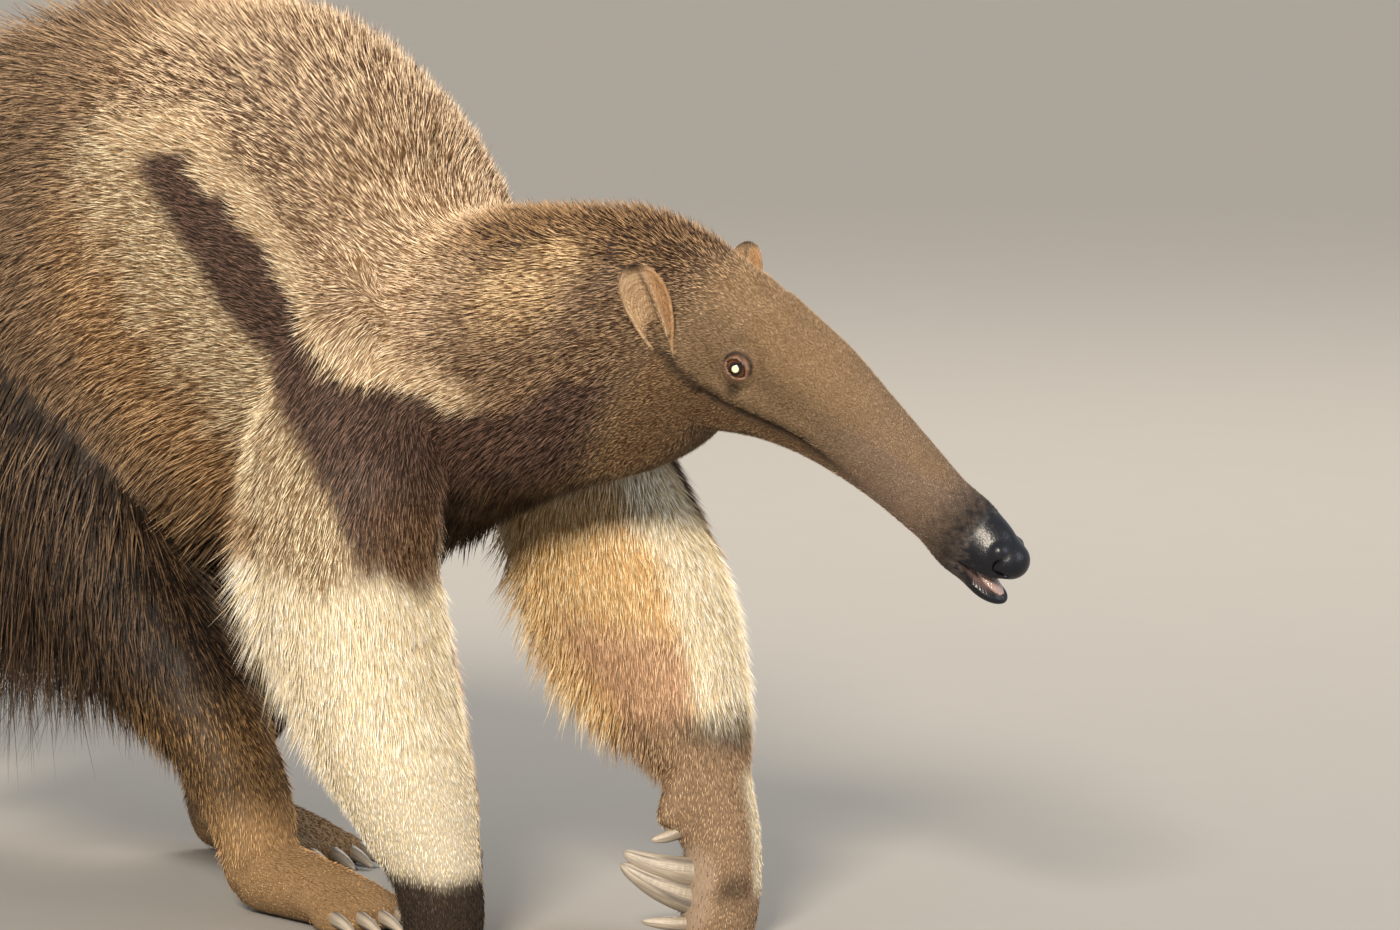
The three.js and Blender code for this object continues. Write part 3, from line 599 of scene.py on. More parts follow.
@dataclass
class Claw:
    """A curved claw that tapers from its root to its tip."""

    root: tuple[float, float, float]
    tip: tuple[float, float, float]
    bow: float
    wide: float
    tall: float
    taper: float = 0.74

    def shape(self, rings: int, sides: int) -> Shape:
        """Sweeps the claw, a little flatter and sharper along its inner curve.

        Args:
            rings: how many rings of points it has.
            sides: how many points a ring has.

        Returns:
            The closed surface.
        """
        root, tip = np.array(self.root), np.array(self.tip)
        bend = root + (tip - root) * 0.55 - UP * self.bow
        t = np.linspace(0, 1, rings)[:, None]
        path = root * (1 - t) ** 2 + 2 * bend * t * (1 - t) + tip * t**2
        ahead = unit(np.gradient(path, axis=0))
        side = unit(np.cross(UP, ahead))
        up = np.cross(ahead, side)
        size = (1 - self.taper * t**2.3) * np.sqrt(np.clip((1.0 - t) / 0.06, 0.02, 1))
        angle = np.linspace(0, 2 * math.pi, sides, endpoint=False)
        keel = np.cos(angle)
        keel = np.where(np.sin(angle) < 0, np.abs(keel) ** 1.3 * np.sign(keel), keel)
        across = side[:, None] * (keel[None, :, None] * (self.wide * size)[:, None])
        high = up[:, None] * (np.sin(angle)[None, :, None] * (self.tall * size)[:, None])
        return tube(path[:, None] + across + high)


# Head


@dataclass
class Eye:
    """The eyeball and the opening of its lids."""

    along: float = 48.0
    out: float = 37.5
    up: float = 4.0
    radius: float = 8.6
    opening: tuple[float, float] = (7.2, 4.7)
    lid: float = 1.7
    rim: float = 7.4

    def on_side(self, side: int) -> Array:
        """The middle of the eyeball in the head's frame."""
        return np.array([self.along, side * self.out, self.up])

    def middle(self, side: int) -> Array:
        """The middle of the eyeball in the animal's frame."""
        return on_head(self.on_side(side))

    def look(self, side: int) -> Array:
        """The direction that the eye faces, in the head's frame."""
        return unit(np.array([0.28, side * 0.94, 0.26]))

    def off_axis(self, points: Array, side: int) -> Array:
        """Measures how far places are from the line of sight.

        Args:
            points: places in the head's frame.
            side: the side of the eye.

        Returns:
            Millimetres, large behind the eye.
        """
        away = points - self.on_side(side)
        ahead = away @ self.look(side)
        return np.sqrt(np.maximum((away**2).sum(1) - ahead**2, 0)) + 50 * (ahead < 0)


def smooth_union(a: Array, b: Array, blend: float) -> Array:
    """Joins two fields of distances, their meeting rounded over `blend` millimetres."""
    h = np.clip(0.5 + 0.5 * (b - a) / blend, 0, 1)
    return b * (1 - h) + a * h - blend * h * (1 - h)


def smooth_cut(a: Array, b: Array, blend: float) -> Array:
    """Takes the second form out of the first, its rim rounded over `blend` millimetres."""
    return -smooth_union(-a, b, blend)


def egg_field(points: Array, centre: Sequence[float], halves: Sequence[float]) -> Array:
    """About the distance to an ellipsoid that lies along the axes."""
    scaled = (points - np.array(centre)) / np.array(halves)
    return (np.linalg.norm(scaled, axis=1) - 1) * min(halves)


@dataclass
class Head:
    """The head from the cheeks forward: a long snout, lids, nostrils and a small mouth at the tip."""

    trunk: Trunk
    eye: Eye
    start: float = 36.0
    turn_point: float = 240.0
    fur: float = 1.6
    bare_from: float = 222.0
    mouth_level: float = -19.0
    mouth_corner: float = 236.0
    axis_level: float = -4.0
    sides: int = 176
    nose: tuple = ((262, 0, -2.6), (10.6, 13, 11.6))
    upper_lip: tuple = ((248, 0, -4.6), (20.5, 14.8, 9.6))
    lower_lip: tuple = ((254.5, 0, -29.2), (16.5, 12, 6))
    chin: tuple = ((236, 0, -25), (24, 14, 7.4))
    spoon: tuple = ((254.5, 0, -24.5), (13.2, 9.4, 6.6))
    nostril: tuple = ((259.8, 12.6, -4.6), (2.3, 5.4, 4.4))
    nostril_curl: tuple = ((264.4, 11.2, -8.3), (5.0, 4.2, 1.7))
    wing: tuple = ((255.0, 11.0, 1.5), (5.0, 4.6, 6.0))
    gap_middle: tuple = (
        (233, -17), (238, -17.6), (243, -18.9), (250, -20.9), (260, -20.6), (268, -19.2), (285, -17),
    )
    gap_half: tuple = ((233, -2), (237, 0.4), (243, 2.6), (250, 4.8), (260, 5.4), (268, 5.8), (285, 12))
    crease: tuple = ((6, -13), (15, -17), (35, -21), (54, -21), (80, -16.5), (108, -12), (140, -12.5))

    def profile(self, along: Array) -> tuple[Array, Array, Array]:
        """Reads the plain skull at places along it.

        Args:
            along: the places.

        Returns:
            The top, the bottom and the half width.
        """
        rows = np.array([(-30, 46, -118, 54), *self.trunk.head, (268, -2, -12, 5)], float)
        dense = curve(rows, np.linspace(0, 1, 400))
        order = np.argsort(dense[:, 0])
        found = [np.interp(along, dense[order, 0], dense[order, k]) for k in (1, 2, 3)]
        depth = self.fur * ramp(along, self.bare_from + 8, self.bare_from - 20)
        return found[0] - depth, found[1] + depth, found[2] - depth

    def dents(self, points: Array) -> Array:
        """Hollows round the eyes, the crease of the cheek, the folds and the brow.

        Args:
            points: places in the head's frame.

        Returns:
            How far the skin sinks below the plain form.
        """
        along, out, up = points[:, 0], np.abs(points[:, 1]), points[:, 2]
        sunk = np.zeros(len(points))
        from_eye = np.hypot(along - self.eye.along, (up - self.eye.up) * 1.15)
        beside = ramp(out, 18, 28)
        sunk += 2.0 * np.exp(-(((from_eye - 16) / 5.5) ** 2)) * beside
        sunk += 1.4 * np.exp(-(((along - 70) / 9) ** 2) - ((up - 2) / 5) ** 2) * beside
        line = np.array(self.crease)
        level = np.interp(along, line[:, 0], line[:, 1])
        along_crease = ramp(along, -4, 14) * ramp(along, 150, 100)
        sunk += 2.8 * np.exp(-(((up - level) / 3.2) ** 2)) * along_crease * beside
        sunk -= 1.3 * np.exp(-(((up - level - 8) / 5) ** 2)) * along_crease * beside
        jaw_line = np.interp(along, [150, 200, self.mouth_corner], [-17, -20, self.mouth_level])
        on_jaw = ramp(along, 150, 190) * ramp(along, self.mouth_corner + 8, self.mouth_corner)
        sunk += 0.8 * np.exp(-(((up - jaw_line) / 2.2) ** 2)) * on_jaw * ramp(out, 8, 14)
        brow = np.exp(-(((along - self.eye.along + 2) / 13) ** 2) - ((up - self.eye.up - 12) / 5) ** 2)
        sunk -= 1.8 * brow * beside
        return sunk

    def field(self, points: Array) -> Array:
        """Joins skull, nose, lips and lids, and cuts mouth and nostrils.

        Args:
            points: places in the head's frame.

        Returns:
            About the distance to the skin, negative inside.
        """
        along, up = points[:, 0], points[:, 2]
        mirrored = points * np.array([1, -1, 1])
        top, bottom, side = self.profile(along)
        middle, half = (top + bottom) / 2, np.maximum((top - bottom) / 2, 1)
        high = np.clip((up - middle) / half, -1, 1)
        wide = side * (1 - self.trunk.pear * high)
        skull = (np.hypot(points[:, 1] / wide, (up - middle) / half) - 1) * np.minimum(half, side)
        skull = np.maximum(skull, along - 262) + self.dents(points)
        form = smooth_union(skull, egg_field(points, *self.nose), 6)
        form = smooth_union(form, egg_field(points, *self.upper_lip), 5)
        form = smooth_union(form, egg_field(points, *self.chin), 6)
        form = smooth_union(form, egg_field(points, *self.lower_lip), 3)
        slit = np.abs(up - self.on_line(self.gap_middle, along)) - self.on_line(self.gap_half, along)
        core = egg_field(points, (self.turn_point, 0, self.mouth_level), (11, 8.5, 6.5))
        form = smooth_cut(form, np.maximum(slit, -core), 1.2)
        form = smooth_cut(form, egg_field(points, *self.spoon), 1.0)
        for where in (points, mirrored):
            form = smooth_union(form, egg_field(where, *self.wing), 3)
            form = smooth_cut(form, egg_field(where, *self.nostril), 1.0)
            form = smooth_cut(form, egg_field(where, *self.nostril_curl), 1.0)
            form = self.with_lids(form, where)
        return form

    @staticmethod
    def on_line(line: tuple, along: Array) -> Array:
        """The height of a line of (along, height) marks at places along the head."""
        marks = np.array(line, float)
        return np.interp(along, marks[:, 0], marks[:, 1])

    def with_lids(self, form: Array, points: Array) -> Array:
        """Wraps the skin over the left eyeball and opens it as an almond.

        Args:
            form: the head's field so far.
            points: the places where it is known.

        Returns:
            The field with the lids.
        """
        centre, look = self.eye.on_side(LEFT), self.eye.look(LEFT)
        away = points - centre
        distance = np.linalg.norm(away, axis=1)
        ahead = away @ look
        forward = unit(np.array([1.0, 0, 0]) - look * look[0])
        upward = np.cross(look, forward)
        upward = upward * np.sign(upward[2])
        x, y = away @ forward, away @ upward
        wide, tall = self.eye.opening
        slant = y + 0.12 * x
        reach = np.abs(x / wide) ** 1.6 + np.abs(slant / tall) ** 2
        opening = (np.sqrt(np.maximum(reach, 1e-9)) - 1) * tall
        form = smooth_union(form, distance - (self.eye.radius + self.eye.lid), 3.0)
        for ring, deep in ((8.6, 0.5), (12.4, 0.9)):
            fold = np.hypot(x / 1.2, slant) - ring
            form = form + deep * np.exp(-((fold / 1.1) ** 2)) * (ahead > 0) * (distance < 22)
        form = smooth_cut(form, np.maximum(opening, -ahead), 0.9)
        return smooth_cut(form, distance - (self.eye.radius + 0.25), 0.3)

    def rays(self) -> tuple[Array, Array, int]:
        """Lays out where the skin is sought from, ring by ring to the tip.

        Returns:
            The starts, the directions and the number of rings.
        """
        eye_to = self.eye.along + 19
        mouth = self.turn_point - 20
        runs = ((self.start, eye_to, 0.75), (eye_to, mouth, 1.7), (mouth, mouth + 20, 1.0))
        along = np.concatenate([np.arange(*run) for run in runs])
        level = self.axis_level + (self.mouth_level - self.axis_level) * ramp(along, 170, self.turn_point)
        straight = np.stack([along, np.zeros_like(along), level], axis=1)
        polar = np.linspace(math.pi / 2, 0.012, 66)
        end = np.tile([self.turn_point, 0, self.mouth_level], (len(polar), 1))
        starts = np.vstack([straight, end])
        tilt = np.concatenate([np.full(len(along), math.pi / 2), polar])
        even = np.linspace(0, 2 * math.pi, self.sides, endpoint=False)
        around = even - 0.45 * np.sin(2 * even) / 2
        ahead, out = np.repeat(np.cos(tilt)[:, None], self.sides, 1), np.sin(tilt)[:, None]
        ways = np.stack([ahead, out * np.cos(around), out * np.sin(around)], axis=2)
        return np.repeat(starts, self.sides, 0), ways.reshape(-1, 3), len(starts)

    def shape(self) -> Shape:
        """Finds the skin along each ray, by steps and then by halving.

        Returns:
            The skin of the head, open where it meets the neck.
        """
        starts, ways, rings = self.rays()
        farthest, step, halvings = 78.0, 1.0, 9
        reach = np.full(len(starts), farthest)
        found = np.zeros(len(starts), bool)
        for _ in range(int(farthest / step) - 1):
            seek = np.flatnonzero(~found)
            if not len(seek):
                break
            inside = self.field(starts[seek] + ways[seek] * (reach[seek] - step)[:, None]) < 0
            reach[seek[~inside]] -= step
            found[seek[inside]] = True
        low, high = reach - step, reach.copy()
        for _ in range(halvings):
            middle = (low + high) / 2
            inside = self.field(starts + ways * middle[:, None]) < 0
            low, high = np.where(inside, middle, low), np.where(inside, high, middle)
        places = on_head(starts + ways * low[:, None])
        return tube(places.reshape(rings, self.sides, 3), open_start=True)


@dataclass
class Ear:
    """A small ear, a cup of skin open to its side and a little forward."""

    side: int
    tip: tuple[float, float, float]
    base: tuple[float, float, float] = (4.0, 46.5, -17.0)
    opening: tuple[float, float, float] = (0.42, 1.0, -0.1)
    wide: float = 16.0
    deep: float = 9.0
    wall: float = 2.2
    fold: float = 5.0
    fold_at: float = 0.34

    def axes(self) -> tuple[Array, Array, Array, Array]:
        """Works out the ear's directions in the animal's frame.

        Returns:
            Its base, and the ways to its tip, across it and out of its opening.
        """
        mirrored = np.array([1, self.side, 1])
        base, tip = np.array(self.base) * mirrored, np.array(self.tip) * mirrored
        reach = tip - base
        facing = np.array(self.opening) * mirrored
        facing = unit(facing - unit(reach) * (facing @ unit(reach)))
        across = np.cross(unit(reach), facing)
        return on_head(base), reach @ HEAD_AXES, across @ HEAD_AXES, facing @ HEAD_AXES

    def shape(self) -> Shape:
        """Bends the cup, with a thin wall and a fold inside.

        Returns:
            The closed surface.
        """
        base, reach, across, facing = self.axes()
        t = np.linspace(-0.12, 1, 26)
        marks = [-0.12, 0.1, 0.3, 0.55, 0.75, 0.9, 0.97, 1.0]
        wide = self.wide * np.interp(t, marks, [0.3, 0.5, 0.8, 1.05, 1.02, 0.8, 0.54, 0.2])
        deep = self.deep * np.interp(t, marks, [1.0, 1.0, 0.92, 0.7, 0.5, 0.3, 0.18, 0.08])
        spread = np.radians(np.interp(t, [-0.12, 0.2, 0.5, 1], [120, 100, 84, 78]))
        wall = np.minimum(self.wall, wide * 0.45)
        turn = np.linspace(-1, 1, 24)
        angle = spread[:, None] * turn[None]
        rings = []
        for inset, order in ((0.0, slice(None)), (1.0, slice(None, None, -1))):
            half, depth = wide - wall * inset, np.maximum(deep - wall * inset, 0.4)
            x = half[:, None] * np.sin(angle[:, order])
            y = -depth[:, None] * np.cos(angle[:, order])
            fold = np.exp(-(((turn[order][None] * -self.side - self.fold_at) / 0.13) ** 2))
            rim = self.fold * fold * ramp(t, 0.86, 0.5)[:, None] * inset
            along = base + reach * t[:, None]
            rings.append(along[:, None] + across * x[..., None] + facing * (y + rim)[..., None])
        return tube(np.concatenate(rings, axis=1))

    def where(self, points: Array) -> tuple[Array, Array]:
        """Finds where some places are on the ear.

        Args:
            points: the places.

        Returns:
            How far up it, 0 to 1, and how far on its open side, in millimetres.
        """
        base, reach, _, facing = self.axes()
        away = points - base
        return away @ reach / (reach @ reach), away @ facing

    def before_fold(self, points: Array) -> Array:
        """How far some places are in front of the ear's fold, in millimetres."""
        base, _, across, _ = self.axes()
        return (points - base) @ unit(across) * -self.side - self.wide * self.fold_at


def ears() -> dict[int, Ear]:
    """The two ears, the right one laid further back."""
    return {LEFT: Ear(LEFT, (-29.0, 60.0, 27.0)), RIGHT: Ear(RIGHT, (-40.0, 61.0, 27.5))}


@dataclass
class Hand:
    """A folded hand, whose long claws curl inwards and back."""

    side: int
    ground: tuple[float, float]
    heading: tuple[float, float] = (-0.55, -0.83)
    claw_rows: tuple = (
        ("first", (-11, -18, 71), 22, -7, 2, 4.0, 4.6),
        ("second", (1, -3, 42), 60, 15, 8, 8.8, 10.4),
        ("third", (0, -3, 23), 61, 26, 9, 9.6, 11.2),
        ("fourth", (-4, -9, 9), 40, 2, 1, 5.6, 5.6),
    )
    palm_reach: float = 27.0

    def claws(self) -> dict[str, Claw]:
        """Sets the claws on the knuckles.

        Returns:
            The claws by name.
        """
        x, y = self.ground
        back, inward = self.heading
        made = {}
        for name, (forward, outward, high), reach, rise, bow, wide, tall in self.claw_rows:
            root = (x + forward, y + self.side * outward, high)
            tip = (root[0] + back * reach, root[1] + self.side * inward * reach, high + rise)
            made[name] = Claw(root, tip, bow, wide, tall)
        return made

    def digits(self) -> list[Shape]:
        """Shapes the folded fingers, and the lobe of the palm behind them.

        Returns:
            Their closed surfaces.
        """
        made = []
        for claw in self.claws().values():
            root, tip = np.array(claw.root), np.array(claw.tip)
            way = unit(tip - root)
            start = root - way * 16 + np.array([6.0, self.side * 2.0, 0.0])
            rows = [(start, 13), (root - way * 4, claw.wide + 3.5), (root + way * 6, claw.wide + 1.2)]
            made.append(Loft([(*at, half, half, half) for at, half in rows]).mesh(8, 14))
        x, y = self.ground
        back, inward = self.heading
        lobe = [(12, 116, 13), (22, 98, 13), (31, 80, 9.5), (34, 72, 6)]
        places = [((x + back * off, y + self.side * inward * off, high), half) for off, high, half in lobe]
        made.append(Loft([(*at, half, half, half) for at, half in places], FRONT).mesh(10, 16))
        return made

    def palm(self, points: Array) -> Array:
        """Finds the bare horny palm round the roots of the two great claws.

        Args:
            points: the places.

        Returns:
            How far each place is on it, 0 to 1.
        """
        claws = self.claws()
        roots = [np.array(claws[name].root) for name in ("second", "third")]
        inward = np.array([self.heading[0], self.side * self.heading[1], 0.0])
        near = np.minimum(*(np.linalg.norm(points - root - inward * 8, axis=1) for root in roots))
        side = ramp((points - roots[0]) @ inward, -12, 2)
        return ramp(near, self.palm_reach, self.palm_reach - 9) * side


def muscles() -> list[Shape]:
    """Shapes the shoulder blades, the upper arms and the haunches under the skin.

    Returns:
        Their closed surfaces.
    """
    made = []
    for side in SIDES:
        made.append(egg((-104, side * 84, 352), (62, 30, 88)))
        made.append(egg((-60, side * 102, 286), (50, 32, 66)))
        made.append(egg((-492, side * 84, 372), (86, 40, 96)))
    return made


# One skin over all the flesh


@dataclass
class Anatomy:
    """All the forms of the animal."""

    trunk: Trunk = field(default_factory=Trunk)
    eye: Eye = field(default_factory=Eye)
    limbs: Legs = field(default_factory=Legs)
    ears: dict[int, Ear] = field(default_factory=ears)

    def __post_init__(self) -> None:
        """Builds what follows from the fields: the head, the legs, the hands and the feet."""
        self.head = Head(self.trunk, self.eye)
        self.arms, self.legs = self.limbs.fore(), self.limbs.hind()
        self.hands = {RIGHT: Hand(RIGHT, (18.0, -TRACK - 3)), LEFT: Hand(LEFT, (82.0, TRACK))}
        self.feet = {RIGHT: Foot(RIGHT, (-196.0, -TRACK + 8)), LEFT: Foot(LEFT, (-480.0, TRACK + 1))}


@dataclass
class Skin:
    """The one skin over body, head, ears, legs and tail."""

    anatomy: Anatomy
    stance: Stance
    voxel: float = 5.7
    body_depth: float = 7.0
    limb_depth: float = 4.5
    cut_along: float = 32.0

    def masses(self) -> Shape:
        """Gathers the closed forms that the skin wraps, up to the cheeks.

        Returns:
            One shape of them all.
        """
        anatomy = self.anatomy
        body = anatomy.trunk.body()
        rings = 90
        ending = float(body.seek(on_head([(self.cut_along + 36, 0, -12)]))[0][0])
        shares = np.linspace(0, ending, rings)
        along = from_head(body.section(shares)[0])[:, 0]
        depth = self.body_depth + (anatomy.head.fur - self.body_depth) * ramp(along, -60, 20)
        shapes = [body.mesh(rings, 72, depth, ending), anatomy.trunk.tail_form().mesh(80, 40, 2)]
        for limb in [*anatomy.arms.values(), *anatomy.legs.values()]:
            shapes.append(limb.mesh(60, 40, self.limb_depth))
        for hand in anatomy.hands.values():
            shapes += hand.digits()
        for foot in anatomy.feet.values():
            shapes += foot.shapes()
        return Shape.joined(shapes + muscles())

    def wrapped(self) -> Object:
        """Wraps the masses in one smooth surface and adds the head and the ears.

        Returns:
            The skin.
        """
        thing = mesh_object("skin", self.masses(), self.stance)
        wrap = thing.modifiers.new("wrap", "REMESH")
        wrap.mode = "VOXEL"
        wrap.voxel_size = self.voxel * MM
        soften = thing.modifiers.new("soften", "SMOOTH")
        soften.factor = 0.5
        soften.iterations = 5
        plain = plain_mesh(thing)
        bm = bmesh.new()
        bm.from_mesh(plain)
        at = self.stance.placed(on_head((self.cut_along, 0, -16)))
        near = [f for f in bm.faces if (f.calc_center_median() - Vector(at)).length < 100 * MM]
        part = dict.fromkeys(near)
        for f in near:
            part.update(dict.fromkeys([*f.verts, *f.edges]))
        bmesh.ops.bisect_plane(
            bm, geom=list(part), plane_co=at, plane_no=HEAD_AXES[0], clear_outer=True, dist=1e-6
        )
        floor = float(self.stance.placed(np.zeros(3))[2]) + 0.4 * MM
        for vert in bm.verts:
            vert.co.z = max(vert.co.z, floor)
        self.with_head(bm)
        self.with_ears(bm)
        bm.to_mesh(plain)
        bm.free()
        plain.shade_smooth()
        return thing

    def with_head(self, bm: BMesh) -> None:
        """Adds the head and bridges the gap to the cheeks.

        Args:
            bm: the skin, open at the cheeks.
        """
        rim = [edge for edge in bm.edges if edge.is_boundary]
        added = add_shape(bm, self.anatomy.head.shape(), self.stance)
        start = [edge for face in added for edge in face.edges if edge.is_boundary]
        bmesh.ops.bridge_loops(bm, edges=rim + list(dict.fromkeys(start)))
        bmesh.ops.recalc_face_normals(bm, faces=bm.faces)
        near = self.stance.placed(on_head((self.cut_along + 2, 0, -16)))
        seam = [v for v in bm.verts if abs((v.co - Vector(near)).dot(Vector(HEAD_AXES[0]))) < 7 * MM]
        seam = [v for v in seam if (v.co - Vector(near)).length < 80 * MM]
        every_way = {"use_axis_x": True, "use_axis_y": True, "use_axis_z": True}
        for _ in range(3):
            bmesh.ops.smooth_vert(bm, verts=seam, factor=0.4, **every_way)

    def with_ears(self, bm: BMesh) -> None:
        """Adds the ears, their roots sunk in the head, and marks which side each is on.

        Args:
            bm: the skin with its head.
        """
        marks = bm.verts.layers.int.new("ear")
        for side, ear in self.anatomy.ears.items():
            added = add_shape(bm, ear.shape(), self.stance)
            bmesh.ops.recalc_face_normals(bm, faces=added)
            for face in added:
                for vert in face.verts:
                    vert[marks] = side


def add_shape(bm: BMesh, shape: Shape, stance: Stance) -> list[BMFace]:
    """Adds a shape to a mesh under construction and returns its faces."""
    verts = [bm.verts.new(place) for place in stance.placed(shape.places)]
    return [bm.faces.new([verts[i] for i in face]) for face in shape.faces]


def plain_mesh(thing: Object) -> Mesh:
    """Turns an object's modifiers into its plain mesh, and removes them.

    Args:
        thing: the object.

    Returns:
        Its new mesh.
    """
    bpy.context.view_layer.update()
    graph = bpy.context.evaluated_depsgraph_get()
    made = bpy.data.meshes.new_from_object(thing.evaluated_get(graph))
    old = thing.data
    thing.modifiers.clear()
    thing.data = made
    made.name = thing.name
    if not old.users:
        bpy.data.meshes.remove(old)
    return made


# Lie, length and markings of the coat, worked out for every place on the skin


class Region(IntEnum):
    """The parts of the skin that have a lie of their own."""

    BODY = 0
    ARM_RIGHT = 1
    ARM_LEFT = 2
    LEG_RIGHT = 3
    LEG_LEFT = 4
    TAIL = 5
    FOOT_RIGHT = 6
    FOOT_LEFT = 7
    EAR_RIGHT = 8
    EAR_LEFT = 9


ARMS = (Region.ARM_RIGHT, Region.ARM_LEFT)
LEGS = (Region.LEG_RIGHT, Region.LEG_LEFT)
FEET = (Region.FOOT_RIGHT, Region.FOOT_LEFT)
EARS = (Region.EAR_RIGHT, Region.EAR_LEFT)


@dataclass
class Terrain:
    """The skin's places and, for every region, where each place is on it."""

    places: Array
    normals: Array
    share: Array
    angle: Array
    weight: Array
    head: Array
    ear: Array

    @property
    def owner(self) -> Array:
        """The number of the region that each place belongs to."""
        return self.weight.argmax(0)

    def part(self, *regions: Region) -> Array:
        """How far each place belongs to some regions, 0 to 1."""
        return sum(self.weight[region] for region in regions)


def survey(anatomy: Anatomy, places: Array, normals: Array, ear: Array) -> Terrain:
    """Finds where every place of the skin is on each region's form.

    Args:
        anatomy: the forms.
        places: places in millimetres in the animal's frame.
        normals: the outward directions there.
        ear: for each place 0, or the side of the ear that it is on.

    Returns:
        The terrain.
    """
    forms = [anatomy.trunk.body(), *anatomy.arms.values(), *anatomy.legs.values(), anatomy.trunk.tail_form()]
    forms += [foot.sole() for foot in anatomy.feet.values()]
    share, angle, ratio = (np.zeros((len(Region), len(places))) for _ in range(3))
    ratio += 9.0
    for region, form in zip(Region, forms):
        share[region], angle[region], ratio[region] = form.seek(places)
    for region in LEGS:
        ratio[region] += 0.6 * (places[:, 2] < 30)
    for region, side in zip(EARS, SIDES):
        share[region], open_side = anatomy.ears[side].where(places)
        angle[region] = open_side / 12
        ratio[region] = np.where(ear == side, -9.0, 9.0)
    low = ratio.min(0)
    weight = np.exp(-14 * (ratio - low))
    weight /= weight.sum(0)
    return Terrain(places, normals, share, angle, weight, from_head(places), ear)


